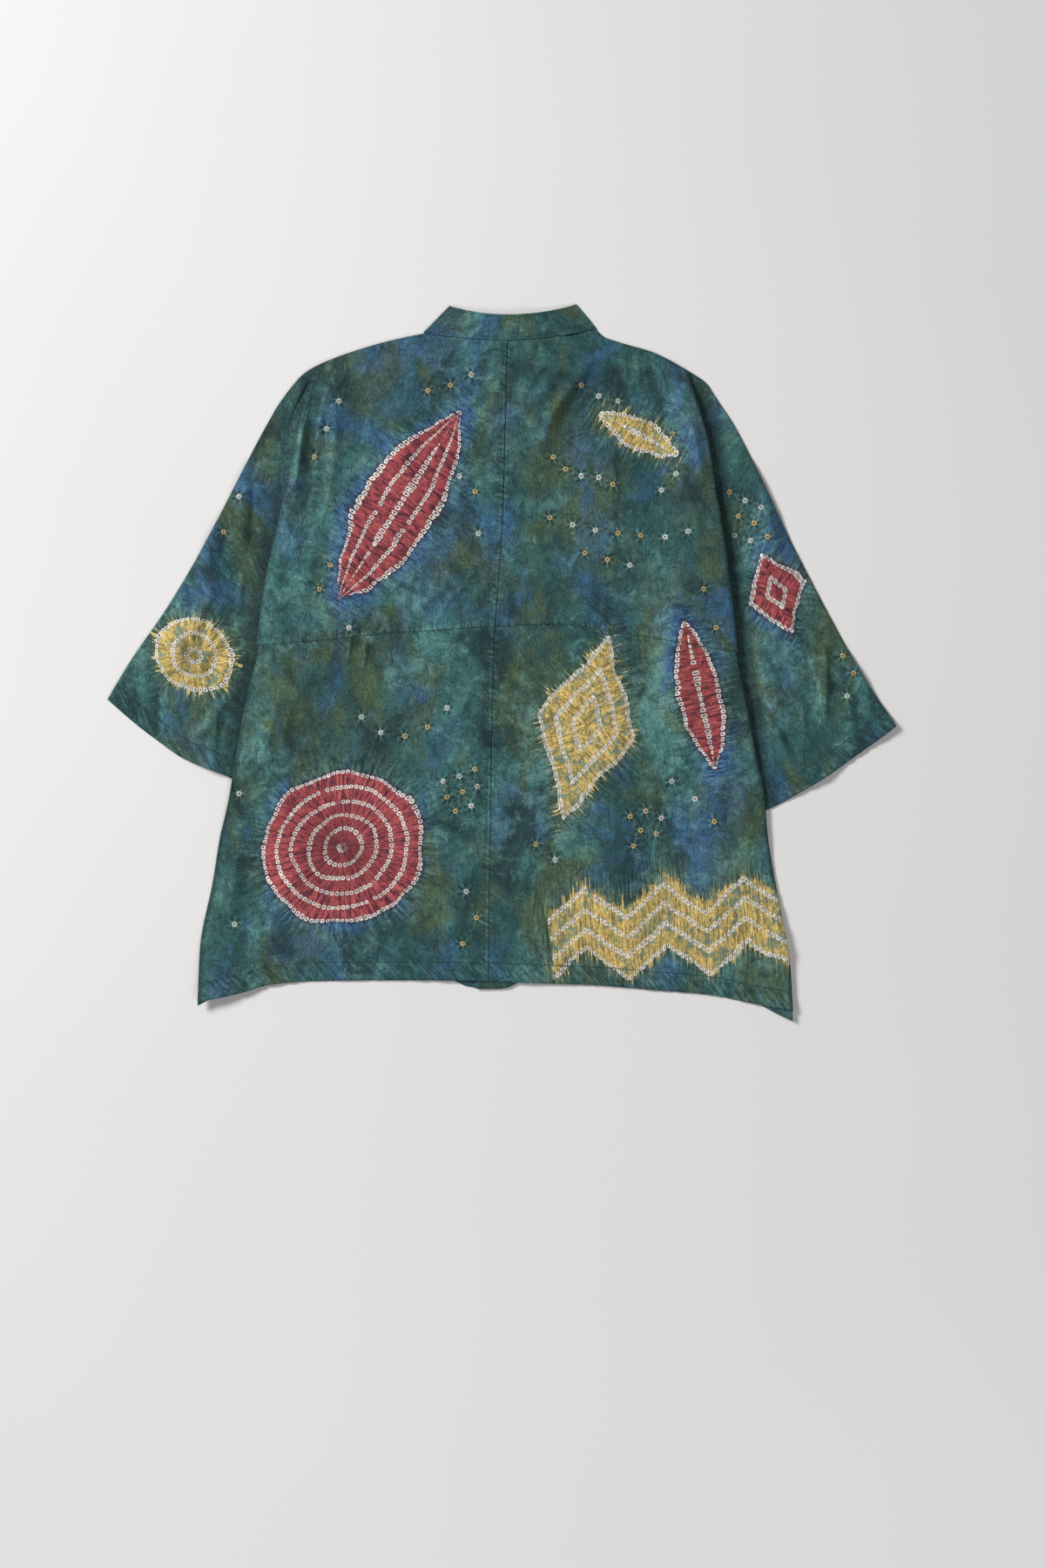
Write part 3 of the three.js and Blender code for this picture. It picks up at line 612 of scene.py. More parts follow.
def tied_dots(x, y):
    """Height of the tied dots, and each point's offset from the nearest one with that dot's
    number. A dot is 1.3 exp(-r / 3) with a star of ridges, 1.2 cos(n angle) exp(-r / 8)."""
    height = np.zeros_like(x)
    offset = np.stack([np.full_like(x, 40.0), np.full_like(x, 40.0), np.zeros_like(x)], axis=-1)
    for number, (px, py) in enumerate(TIED_DOTS):
        near = (np.abs(x - px) < DOT_REACH) & (np.abs(y - py) < DOT_REACH)
        dx, dy = x[near] - px, y[near] - py
        radius, angle = np.hypot(dx, dy), np.arctan2(dy, dx)
        star = 1.2 * np.cos((4 + number % 3) * angle + number) * np.exp(-radius / 8)
        height[near] += 1.3 * np.exp(-radius / 3) + star * ease(radius, 1, 5)
        closer = radius < np.hypot(offset[near][:, 0], offset[near][:, 1])
        spots = np.flatnonzero(near)[closer]
        for axis, values in enumerate((dx, dy, np.full_like(dx, number / 10))):
            offset[..., axis].flat[spots] = values[closer]
    return height, offset


# Middle surfaces, by the same rules as the solids


def spread(controls, cells):
    """Columns between control columns: each interval is divided evenly into its cells."""
    steps = np.concatenate([k + np.arange(n) / n for k, n in enumerate(cells)] + [[len(cells)]])
    low = np.minimum(steps.astype(int), len(cells) - 1)
    return mix(controls[..., low], controls[..., low + 1], steps - low)


def cells_for(controls, spacing):
    """How many cells each interval needs so that none is wider than spacing."""
    widest = np.abs(np.diff(controls, axis=-1)).max(axis=0)
    return np.maximum(np.ceil(widest / spacing).astype(int), 1)


def body_controls(side, centre, start, edge, inset, keep, fall):
    """Distances out of the body's control columns, from the centre to the side."""
    flat = edge - keep - fall
    neck = centre + side.neck.half
    outs = [centre + start, *(centre + away for away in CENTRE_COLUMNS), neck]
    outs += [mix(neck, flat, 1 / 3), mix(neck, flat, 2 / 3), flat]
    outs += [*(flat + share * fall for share in FALL_COLUMNS), edge - keep]
    outs += [edge - inset / 2 - keep / 2, edge - inset]
    return np.concatenate(np.broadcast_arrays(*outs), axis=-1)


def over_buttons(y):
    """How far the buttons hold the cloth up, less towards the neck and towards the hem."""
    return BUTTON_LIFT * (1 - 0.8 * ease(y, 342, 374)) * (1 - 0.6 * ease(-y, 315, 370))


def by_centre(from_centre, half):
    """1 beside the centre line, falling evenly to 0 level with the neck point."""
    return np.clip((half - from_centre) / (half - FLAT_BY_CENTRE), 0, 1)


def centre_lift(layer, from_centre, half, y):
    """Lift along the centre: the buttons' height and the layers below, times by_centre."""
    above = {"outer": 0, "inner": LAYER, "back": LAYER + BACK_SLACK}[layer]
    return by_centre(from_centre, half) * (over_buttons(y) + above)


def top_edge(side, out, from_centre, is_front):
    """The neck seam as far as the neck point, then the shoulder. The neck drops from the
    neck point by 1 - s^2 at the back and sqrt(1 - s^2) at the front, s its share of the half."""
    share = np.clip(from_centre / side.neck.half, 0, 1)
    shape = np.sqrt(1 - share**2) if is_front else 1 - share**2
    neck = side.neck.y - (side.neck.y - (NECK_FRONT_Y if is_front else NECK_BACK_Y)) * shape
    return np.where(share < 1, neck, side.shoulder.at(out).y)


def in_first_row(share, rows):
    """1 at the first of the solid's rows, falling evenly to 0 at the second."""
    return np.clip(1 - share * rows, 0, 1)


def layer_of(layer):
    """Whether a layer is a front, how far it lies below the back, and how far out of the
    centre line it starts."""
    if layer == "back":
        return False, 0, SEWN_GAP / 2
    return True, LAYER, -LAP


def raised_width(fold, inset):
    """How far in from its edge the body stays raised over what is folded under it, and at
    least a little past the inset where the cloth starts to bend."""
    folded = ease(fold.turn, *FOLDED_TURN)
    return np.maximum(EDGE_ROLL + folded * (PAST_UNDER_FOLD + fold.under), inset + PAST_BEND)


def fold_strip(side, y, share, below, counts):
    """The S of two bends at the body's side, with a straight stretch between them: an arc of
    the upper bend's radius through turn, a straight run, and an arc of the lower radius back
    to flat. The radii add up to (rise - under sin turn) / (1 - cos turn)."""
    fold = side.fold.at(y)
    turn = np.radians(fold.turn)
    bends = (fold.rise - fold.under * np.sin(turn)) / (1 - np.cos(turn))
    low_bend = fold.tuck * bends
    high_bend = bends - low_bend
    start = -(high_bend + SOLID_CLOTH / 2) * np.sin(np.minimum(turn, np.pi / 2))

    lean = side.fold.at(y - SLOPE_STEP).out - side.fold.at(y + SLOPE_STEP).out
    square = np.concatenate([np.full_like(lean, 2 * SLOPE_STEP), lean], axis=-1)
    square /= np.linalg.norm(square, axis=-1, keepdims=True)
    drop = side.shoulder.at(fold.out + SLOPE_STEP).y - side.shoulder.at(fold.out - SLOPE_STEP).y
    along = np.concatenate([np.full_like(drop, 2 * SLOPE_STEP), drop], axis=-1)
    along /= np.linalg.norm(along, axis=-1, keepdims=True)
    way = mix(along, square, ease(share, 0, 0.3))
    way /= np.linalg.norm(way, axis=-1, keepdims=True)

    over, straight, under = counts
    rising = np.linspace(0, 1, over + 1)
    run = np.linspace(0, 1, straight + 1)[1:-1]
    closing = np.linspace(1, 0, under + 1)
    far_across = bends * np.sin(turn) + fold.under * np.cos(turn)
    first = (high_bend * np.sin(turn * rising), -high_bend * (1 - np.cos(turn * rising)))
    last = (
        far_across - low_bend * np.sin(turn * closing),
        -fold.rise + low_bend * (1 - np.cos(turn * closing)),
    )
    middle = [mix(a[:, -1:], b[:, :1], run) for a, b in zip(first, last)]
    across = np.concatenate([first[0], middle[0], last[0]], axis=1)
    height = np.concatenate([first[1], middle[1], last[1]], axis=1)
    angle = turn * np.concatenate([rising, np.ones(len(run)), closing])

    reach = start + across - below * np.sin(angle)
    out = fold.out + reach * way[:, :1]
    row_y = y + reach * way[:, 1:]
    z = BACK_Z + fold.rise + height - below * np.cos(angle)
    up = np.stack(
        [side.sign * way[:, :1] * np.sin(angle), way[:, 1:] * np.sin(angle), np.cos(angle)], axis=-1
    )
    top_shift = side.shoulder.at(out[0]).y - row_y[0]
    seam_y = side.waist.at((fold.out + start)[-1]).y + SEWN_GAP / 2 - start[-1] * way[-1, 1]
    row_y = row_y + top_shift * in_first_row(share, UPPER_ROWS)
    row_y = row_y + (seam_y - y[-1]) * in_first_row(1 - share, UPPER_ROWS)
    point = np.stack([side.sign * out, row_y, z], axis=-1)
    step = np.hypot(np.diff(across, axis=1), np.diff(height, axis=1))
    arc = np.concatenate([np.zeros_like(start), np.cumsum(step, axis=1)], axis=1)
    unfolded = start + arc
    laid = np.stack(
        [side.sign * (fold.out + unfolded * way[:, :1]), y + unfolded * way[:, 1:]], axis=-1
    )
    takes = np.concatenate([1 - ease(rising, 0.35, 0.95), np.zeros(len(run) + under + 1)])
    return SimpleNamespace(
        point=point, up=up, laid=laid, arc=arc, fold=fold, start=start,
        free=np.broadcast_to(takes, arc.shape),
    )


def flat_up(point):
    """Straight up at every point."""
    return np.broadcast_to(np.array([0.0, 0.0, 1.0]), point.shape)


def upper_sheet(side, layer, spacing):
    """The upper body, its side fold and the sleeve above the armpit: rows from the shoulder
    to the waist seam, columns from the centre to the overarm seam."""
    is_front, below, start = layer_of(layer)
    top_y, waist_y = side.fold.rows[-1, 0], side.fold.rows[0, 0]
    share = np.linspace(0, 1, int(UPPER_LENGTH / spacing) + 1)[:, None]
    counts = FRONT_FOLD_CELLS if is_front else BACK_FOLD_CELLS
    strip = fold_strip(side, mix(top_y, waist_y, share), share, below, counts)
    fold = strip.fold
    keep = raised_width(fold, -strip.start)
    centre = side.sign * CENTRE.at(mix(NECK_BACK_Y, side.waist.rows[0, 1], share)).x
    controls = body_controls(side, centre, start, fold.out, -strip.start, keep, fold.fall)
    cells = cells_for(controls, spacing)
    out = spread(controls, cells)[:, :-1]
    first_row = in_first_row(share, UPPER_ROWS)
    last_row = in_first_row(1 - share, UPPER_ROWS)
    top = top_edge(side, out[0], out[0] - centre[0], is_front)
    y = mix(top, side.waist.at(out[-1]).y, share) + last_row * SEWN_GAP / 2
    raised = fold.rise * fall_off((fold.out - keep - out) / fold.fall)
    x = side.sign * out
    takes = ease(fold.out - out, *SOFT_IN_BODY) * (1 - first_row)
    soft = 0 if is_front else soft_folds(x, y) * takes
    lift = centre_lift(layer, out - centre, side.neck.half, y)
    body = np.stack([x, y, BACK_Z - below + raised + soft + lift], axis=-1)

    inner = strip.point[:, -1]
    outer_y = mix(side.overarm.rows[-1, 0], side.armpit_across_y, share)
    outer_x = side.sign * side.overarm.at(outer_y).out
    width = np.abs(outer_x[-1, 0] - inner[-1, 0])
    across = np.linspace(0, 1, int(width * SLEEVE_WIDENS / spacing) + 1)[1:]
    sleeve_x = mix(inner[:, :1], outer_x, across)
    sleeve_y = mix(inner[:, 1:2], outer_y, across)
    bow = side.shoulder.at(side.sign * sleeve_x[0]).y - sleeve_y[0]
    sleeve_y = sleeve_y + bow * first_row
    past_fold = side.sign * sleeve_x - fold.out
    clear = ease(past_fold, *SOFT_IN_SLEEVE)
    sleeve = sleeve_points(sleeve_x, sleeve_y, clear, is_front)

    arc = strip.arc[:, -1:] + strip.start + fold.out + np.hypot(
        sleeve_x - inner[:, :1], sleeve_y - inner[:, 1:2]
    )
    return SimpleNamespace(
        point=np.concatenate([body, strip.point, sleeve], axis=1),
        up=np.concatenate([flat_up(body), strip.up, flat_up(sleeve)], axis=1),
        laid=np.concatenate([body[..., :2], strip.laid, sleeve[..., :2]], axis=1),
        across=np.concatenate([x, strip.laid[..., 0], side.sign * arc], axis=1),
        free=np.concatenate([np.ones_like(x), strip.free, ease(past_fold, *FINE_IN_SLEEVE)], axis=1),
        fullness=np.concatenate([takes, np.zeros_like(strip.arc), clear], axis=1),
        sleeve_from=body.shape[1] + strip.point.shape[1],
        cells=cells,
    )


def sleeve_points(x, y, clear, is_front):
    """Points of a sleeve at their layer's height, with the soft folds where it lies clear."""
    soft = 0 if is_front else soft_folds(x, y) * clear
    z = np.full_like(x, FRONT_Z if is_front else BACK_Z) + soft
    return np.stack([x, y, z], axis=-1)


def sleeve_sheet(side, layer, upper, spacing):
    """The sleeve below the armpit: rows from there to the cuff. Each row is straight, with
    the cuff's bow added as the square of its share of the way down."""
    is_front = layer != "back"
    first = upper.point[-1, upper.sleeve_from - 1]
    columns = upper.point.shape[1] - upper.sleeve_from
    cuff = side.cuff.rows
    share = np.linspace(0, 1, int(SLEEVE_LENGTH / spacing) + 1)[1:, None]
    inner_out = mix(side.sign * first[0], cuff[0, 0], share)
    inner_y = mix(first[1], cuff[0, 1], share)
    outer_y = mix(side.armpit_across_y, cuff[-1, 1], share)
    outer_out = side.overarm.at(outer_y).out
    across = np.linspace(0, 1, columns + 1)
    out = mix(inner_out, outer_out, across)
    straight = mix(cuff[0, 1], cuff[-1, 1], across)
    bow = side.cuff.at(mix(cuff[0, 0], cuff[-1, 0], across)).y - straight
    plain_y = mix(inner_y, outer_y, across)
    edge = side.hip.at(plain_y).out
    y = plain_y + bow * share**2
    x = side.sign * out
    clear = ease(out - edge, *SOFT_IN_SLEEVE)
    point = sleeve_points(x, y, clear, is_front)
    return SimpleNamespace(
        point=point,
        up=flat_up(point),
        laid=point[..., :2],
        across=x + (upper.across[-1, upper.sleeve_from - 1] - first[0]),
        free=ease(out - edge, *FINE_IN_SLEEVE),
        fullness=clear,
    )


def lower_sheet(side, layer, spacing, cells=None):
    """The body from the waist seam to the hem, in given columns or its own."""
    is_front, below, start = layer_of(layer)
    waist_y, hem_y = side.hip.rows[-1, 0], side.hip.rows[0, 0]
    share = np.linspace(0, 1, int(LOWER_LENGTH / spacing) + 1)[:, None]
    edge_y = mix(waist_y, hem_y, share)
    hip = side.hip.at(edge_y)
    centre = side.sign * CENTRE.at(edge_y).x
    armpit_y = np.array([[side.fold.rows[0, 0]]])
    armpit = fold_strip(side, armpit_y, np.ones((1, 1)), below, ARMPIT_FOLD_CELLS)
    inset = -armpit.start * (1 - ease(share, 0, INSET_ENDS))
    controls = body_controls(side, centre, start, hip.out, inset, hip.keep, hip.fall)
    out = spread(controls, cells_for(controls, spacing) if cells is None else cells)
    waist = side.waist.at(out[0]).y - SEWN_GAP / 2
    hem = side.hem.at(out[-1]).y
    last_row = in_first_row(1 - share, LOWER_ROWS)
    peek = side.front_peek.at(out[-1]).down * last_row if is_front else 0
    y = mix(waist, hem, share) - peek
    raised = hip.rise * fall_off((hip.out - hip.keep - out) / hip.fall)
    x = side.sign * out
    takes = ease(hip.out - out, *SOFT_IN_BODY)
    soft = 0 if is_front else soft_folds(x, y) * takes
    lift = centre_lift(layer, out - centre, side.neck.half, y)
    point = np.stack([x, y, BACK_Z - below + raised + soft + lift], axis=-1)
    return SimpleNamespace(
        point=point,
        up=flat_up(point),
        laid=point[..., :2],
        across=x,
        free=np.ones_like(x),
        fullness=takes,
    )


# Finished sheets

# How much of its gathers a hidden front keeps
HIDDEN_GATHERS = 0.25


def distance_along(point, axis, backwards=False):
    """Distance along the rows or columns from the first of them, or from the last."""
    step = np.linalg.norm(np.diff(point, axis=axis), axis=-1)
    if backwards:
        step = np.flip(step, axis)
    pad = [(0, 0), (0, 0)]
    pad[axis] = (1, 0)
    total = np.pad(np.cumsum(np.nan_to_num(step), axis=axis), pad)
    return np.flip(total, axis) if backwards else total


def puckers(along, away, width, reach, number):
    """Short puckers across a seam: noise along it, one unit to a pucker, fading as
    exp(-away / reach) with a reach that varies along the seam."""
    uneven = reach * (0.9 + 0.7 * noise(along / 31, number))
    return noise(along / width, away / 30 + number * 3.1) * np.exp(-away / np.maximum(uneven, 3))


def groove(away, width, depth):
    """Cloth drawn down at a line: -depth (1 - away / width)^2 inside width."""
    return -depth * np.clip(1 - np.abs(away) / width, 0, 1) ** 2


def relief(sheet, sizes, is_back):
    """All the finer height of a sheet: the sum of gathers, creases, tied dots, fuller soft
    folds, crumple from noise, and seams and hems. A back goes hardly below -0.55 less 0.9 of
    its soft folds, so that it stays over the front; a front stays from 0 to 0.55. All of it
    fades where the sheet isn't free."""
    x, y = sheet.laid[..., 0], sheet.laid[..., 1]
    known = np.isfinite(x)
    x, y = np.where(known, x, 0), np.where(known, y, 0)
    field = figures(x, y, sheet.on_sleeve)
    dots, offset = tied_dots(x, y)
    height = gathers(field, sizes.gather_height) * (1 if is_back else HIDDEN_GATHERS)
    if is_back:
        height += creases(x, y, CREASES) * sizes.crease_height
        height += (dots + creases(x, y, DOT_CREASES)) * ease(field.nearest, 6, 20)
        height += sizes.fold_fullness * soft_folds(x, y) * sheet.fullness
        quiet = ease(field.nearest, -2, 14)
        crumple = noise(x / 9 + y / 31, y / 14 - x / 40) + 0.6 * noise(x / 5 + 7, y / 6 - x / 16)
        height += quiet * 0.22 * crumple
        height += quiet * 0.5 * np.maximum(noise(x / 34 + 3, y / 23 + 8), 0)
    else:
        height += 0.35 * np.maximum(creases(-x, y, CREASES), 0) + 0.12 * (noise(x / 11, y / 13) + 1)
    height += sheet.edge_relief
    if is_back:
        lowest = -0.55 - 0.9 * soft_folds(x, y) * sheet.fullness
        height = np.maximum(height, lowest - 0.12 * np.tanh(lowest - height))
    else:
        height = np.clip(height, 0, 0.55)
    sheet.field, sheet.offset = field, offset
    return height * sheet.free


def waist_puckers(along, away):
    """Short puckers a few millimetres apart and longer ones between them, with a groove."""
    short = 0.6 * puckers(along, away, 3.6, 9, 1)
    return short + 0.6 * puckers(along, away, 9, 16, 4) + groove(away, 3, 0.2)


def beside_centre(side, away, along):
    """Puckers and the seam's own groove beside the centre back. Its allowance is turned to
    the left: a layer's thickness up to its row of stitching, with a groove there. To the
    right of the seam the cloth falls from that height as exp(-away / 2.5)."""
    height = 0.5 * puckers(along, away, 5, 8, 2) + groove(away, 2.6, 0.25)
    turned = 0.45 + 0.4 * noise(along / 5.5, away / 9, 3)
    if side is LEFT:
        return height + ease(ALLOWANCE - away, -0.8, 0.8) * turned + groove(away - ALLOWANCE, 1.9, 0.6)
    return height + turned * np.exp(-away / 2.5)


def hem_band(to_edge, along, width, number):
    """A turned hem: a second layer's thickness up to its stitching, a groove there, slanting
    puckers between the stitching and the edge, and short ones just past it."""
    inside = ease(width - to_edge, -0.8, 0.8)
    slant = noise((along + 0.8 * to_edge) / 5.4, to_edge / 26, number)
    fine = noise((along + 1.1 * to_edge) / 3.1, to_edge / 17, number + 4)
    held = np.exp(-np.abs(to_edge - width) / 9)
    roll = groove(to_edge, 2.2, 0.35)
    return inside * (0.5 + 0.6 * slant + 0.4 * fine) + 0.45 * held * slant + groove(
        to_edge - width, 1.7, 0.5
    ) + roll


SHAPED = ("point", "up", "laid", "across", "free", "fullness")
MARKED = ("on_sleeve", "edge_relief", "to_hem")


def assemble(parts, sheet_name):
    """One grid from stacked parts with the same number of columns."""
    grids = {
        key: np.concatenate([getattr(part, key) for part in parts], axis=0) for key in SHAPED + MARKED
    }
    return SimpleNamespace(name=sheet_name, **grids)


def mark(part, sleeve_from=None):
    """Notes which columns of a part are its sleeve, with no relief and no hem yet."""
    shape = part.point.shape[:2]
    part.on_sleeve = np.zeros(shape, bool)
    if sleeve_from is not None:
        part.on_sleeve[:, sleeve_from:] = True
    part.edge_relief = np.zeros(shape)
    part.to_hem = np.full(shape, FAR)


def padded_columns(array, before, after):
    """Columns of nothing before and after a part's own columns."""
    pad = [(0, 0), (before, after)] + [(0, 0)] * (array.ndim - 2)
    return np.pad(array.astype(float), pad, constant_values=np.nan)


def kept_cells(point):
    """The cells whose four corners exist."""
    there = np.isfinite(point[..., 0])
    return there[:-1, :-1] & there[1:, :-1] & there[:-1, 1:] & there[1:, 1:]


def upper_back(side, sizes):
    """The upper back with its sleeve, as one grid, and its relief."""
    upper = upper_sheet(side, "back", sizes.upper_spacing)
    sleeve = sleeve_sheet(side, "back", upper, sizes.upper_spacing)
    rows, columns = upper.point.shape[:2]
    mark(upper, upper.sleeve_from)
    centre_away = np.abs(upper.point[..., 0] - CENTRE.at(upper.point[..., 1]).x)
    waist_away = distance_along(upper.point, 0, backwards=True)
    top_away = distance_along(upper.point, 0)
    pulled = np.where(upper.on_sleeve, 0, waist_puckers(upper.across, waist_away))
    pulled += beside_centre(side, centre_away, upper.laid[..., 1])
    pulled += 0.5 * puckers(upper.across, top_away, 9, 8, 3) * ease(top_away, 0, 4)
    upper.edge_relief = pulled + groove(top_away, 2.5, 0.4)

    before = upper.sleeve_from - 1
    to_cuff = distance_along(sleeve.point, 0, backwards=True)
    band = hem_band(to_cuff, sleeve.point[..., 0], sizes.hem_width / MM, 5 + side.sign)
    sleeve.edge_relief, sleeve.to_hem = band, to_cuff
    kept = SHAPED + ("edge_relief", "to_hem")
    padded = {key: padded_columns(getattr(sleeve, key), before, 0) for key in kept}
    lower = SimpleNamespace(**padded, on_sleeve=np.ones((len(sleeve.point), columns), bool))
    sheet = assemble([upper, lower], f"back_upper_{side.name}")
    to_overarm = distance_along(sheet.point[:, before:], 1, backwards=True)
    sheet.edge_relief[:, before:] += groove(to_overarm, 3, 0.5)
    sheet.cuff_rows = slice(rows, None)
    sheet.cuff_columns = slice(before, None)
    return sheet


def lower_back(side, sizes):
    """The lower back as one grid, and its relief."""
    part = lower_sheet(side, "back", sizes.lower_spacing)
    mark(part)
    centre_away = np.abs(part.point[..., 0] - CENTRE.at(part.point[..., 1]).x)
    waist_away = distance_along(part.point, 0)
    to_hem = distance_along(part.point, 0, backwards=True)
    to_side = distance_along(part.point, 1, backwards=True)
    pulled = waist_puckers(part.across, waist_away)
    pulled += beside_centre(side, centre_away, part.laid[..., 1])
    pulled += groove(to_side, 2.5, 0.4) + 0.3 * puckers(part.laid[..., 1], to_side, 13, 9, 6)
    part.edge_relief = pulled + hem_band(to_hem, part.across, sizes.hem_width / MM, 8 + side.sign)
    part.to_hem = to_hem
    return assemble([part], f"back_lower_{side.name}")


def front(side, layer, sizes):
    """A front, cut in one from shoulder to hem, with its half of the sleeve."""
    spacing = sizes.front_spacing
    upper = upper_sheet(side, layer, spacing)
    sleeve = sleeve_sheet(side, layer, upper, spacing)
    lower = lower_sheet(side, layer, spacing, upper.cells)
    mark(upper, upper.sleeve_from)
    columns, before = upper.point.shape[1], upper.sleeve_from - 1
    count = max(len(lower.point) - 1, len(sleeve.point))

    def padded_rows(array):
        """A part with rows of nothing after its own."""
        pad = [(0, count - len(array))] + [(0, 0)] * (array.ndim - 1)
        return np.pad(array.astype(float), pad, constant_values=np.nan)

    def joined(key):
        """The lower body and the sleeve side by side, without the row that the upper part has."""
        body = getattr(lower, key)[1:]
        body = padded_columns(body, 0, before - body.shape[1])
        return np.concatenate([padded_rows(body), padded_rows(getattr(sleeve, key))], axis=1)

    below = SimpleNamespace(**{key: joined(key) for key in SHAPED})
    mark(below)
    below.on_sleeve = np.broadcast_to(np.arange(columns) >= before, (count, columns))
    return assemble([upper, below], f"front_{side.name}")


def collar_half(side, layer, centre, height, spacing):
    """Half of the stand collar: round the band from centre back to its end at the front, at
    each height up it. The band's edges follow 1 - s^2 at the back and sqrt(1 - s^2) at the
    front, and its side crease is a half turn of the fold radius."""
    half = side.neck.half

    def place(share, base_y, top_y, z):
        """Points between the band's two edges: each share of its height up from the base."""
        x = centre + side.sign * share * mix(half, side.collar_top.half, height)
        y = mix(base_y, top_y, height)
        return np.stack(np.broadcast_arrays(x, y, z + 0 * y), axis=-1)

    share = np.linspace(0, 1, int(half / spacing) + 1)
    full = 1 - share**2
    base = side.neck.y - (side.neck.y - NECK_BACK_Y) * full + SEAM_GAP / 2
    top = side.collar_top.y - (side.collar_top.y - COLLAR_BACK_TOP_Y) * full
    level = FRONT_Z + 2 * COLLAR_FOLD_RADIUS + COLLAR_LEAN * height * full
    back = place(share, base, top, level + centre_lift("back", share * half, half, NECK_BACK_Y))

    way = np.array([side.collar_top.half - half, side.collar_top.y - side.neck.y], float)
    way /= np.linalg.norm(way)
    turned = np.linspace(0, 1, 9)[1:-1]
    angle = np.pi * turned
    gap = mix(SEAM_GAP / 2, COLLAR_SEAM_GAP, turned)
    crease = place(np.ones_like(angle), side.neck.y + gap, side.collar_top.y, 0)
    crease[..., 0] += side.sign * way[1] * COLLAR_FOLD_RADIUS * np.sin(angle)
    crease[..., 1] += -way[0] * COLLAR_FOLD_RADIUS * np.sin(angle)
    crease[..., 2] = FRONT_Z + COLLAR_FOLD_RADIUS * (1 + np.cos(angle))
    crease_up = np.stack(
        [side.sign * way[1] * np.sin(angle), -way[0] * np.sin(angle), np.cos(angle)], axis=-1
    )

    share = np.linspace(1, -LAP / half, int((half + LAP) / spacing) + 1)
    inside = np.maximum(share, 0)
    drop = np.sqrt(1 - inside**2)
    base = side.neck.y - (side.neck.y - NECK_FRONT_Y) * drop + COLLAR_SEAM_GAP
    top = side.collar_top.y - (side.collar_top.y - COLLAR_FRONT_TOP_Y) * drop
    on_inner = LAYER if layer == "inner" else 0
    lap = by_centre(share * half, half)
    level = FRONT_Z + lap * (BUTTON_LIFT * (1 - COLLAR_TOP_DROP * height) + on_inner)
    front_part = place(share, base, top, level)

    rows = height.shape[0]
    up = [flat_up(back), np.broadcast_to(crease_up, (rows, *crease_up.shape)), -flat_up(front_part)]
    free = [np.ones(back.shape[1]), np.cos(angle / 2) ** 2 * 0.5, np.zeros(front_part.shape[1])]
    return SimpleNamespace(
        point=np.concatenate([back, crease, front_part], axis=1),
        up=np.concatenate(up, axis=1),
        free=np.broadcast_to(np.concatenate(free), (rows, sum(len(f) for f in free))),
    )


def collar_sheet(sizes):
    """The whole collar as one grid, from its outer end round to its inner end, with the
    grooves of its two rows of stitching and the puckers that they draw."""
    spacing = sizes.collar_spacing
    height = np.linspace(0, 1, int(COLLAR_HEIGHT / spacing) + 1)[:, None]
    centre = CENTRE.at(np.array(float(NECK_BACK_Y))).x
    left = collar_half(LEFT, "outer", centre, height, spacing)
    right = collar_half(RIGHT, "inner", centre, height, spacing)
    sheet = SimpleNamespace(name="collar_stand")
    for key in ("point", "up", "free"):
        halves = getattr(left, key)[:, ::-1], getattr(right, key)[:, 1:]
        setattr(sheet, key, np.concatenate(halves, axis=1))
    up_band = distance_along(sheet.point, 0)
    down_band = distance_along(sheet.point, 0, backwards=True)
    round_band = distance_along(sheet.point, 1)
    middle = round_band[:1, left.point.shape[1] - 1 : left.point.shape[1]]
    round_band = round_band[:1] - middle + 0 * up_band
    sheet.laid = np.stack([round_band, up_band + 372], axis=-1)
    sheet.across = round_band
    sheet.fullness = np.zeros_like(up_band)
    mark(sheet, 0)
    draw = 0.45 * puckers(round_band, up_band, 7.5, 7, 11)
    draw += 0.35 * puckers(round_band, down_band, 8, 6, 12)
    lines = groove(up_band - 2.6, 1.3, 0.35) + groove(down_band - 3, 1.3, 0.35)
    ends = groove(down_band, 2.2, 0.45) + groove(up_band, 1.8, 0.4)
    from_nip = round_band - 14
    nip = 0.8 * (np.exp(-((from_nip / 3) ** 2)) * ease(up_band, 18, 30)) * np.cos(from_nip * 0.9)
    slack = 0.3 * noise(round_band / 24, up_band / 15, 6) + 0.14 * noise(round_band / 8, up_band / 7, 2)
    sheet.edge_relief = draw + lines + ends + nip + slack
    return sheet


# Meshes


def add_piece(name, vertices, faces, material, attributes=None):
    """A mesh object from arrays: vertices in millimetres, and lists of faces of one size."""
    mesh = bpy.data.meshes.new(name)
    mesh.vertices.add(len(vertices))
    mesh.vertices.foreach_set("co", (np.asarray(vertices) * MM).astype(np.float32).ravel())
    sizes = np.concatenate([np.full(len(block), block.shape[1]) for block in faces])
    corners = np.concatenate([block.ravel() for block in faces])
    mesh.loops.add(len(corners))
    mesh.loops.foreach_set("vertex_index", corners.astype(np.int32))
    mesh.polygons.add(len(sizes))
    starts = np.concatenate([[0], np.cumsum(sizes)[:-1]])
    mesh.polygons.foreach_set("loop_start", starts.astype(np.int32))
    mesh.polygons.foreach_set("use_smooth", np.ones(len(sizes), bool))
    mesh.update(calc_edges=True)
    if mesh.validate():
        raise RuntimeError(f"{name} has faces that aren't valid")
    for key, values in (attributes or {}).items():
        layer = mesh.attributes.new(key, "FLOAT_VECTOR", "POINT")
        layer.data.foreach_set("vector", np.asarray(values, np.float32).ravel())
    mesh.materials.append(material)
    piece = bpy.data.objects.new(name, mesh)
    bpy.context.scene.collection.objects.link(piece)
    return piece


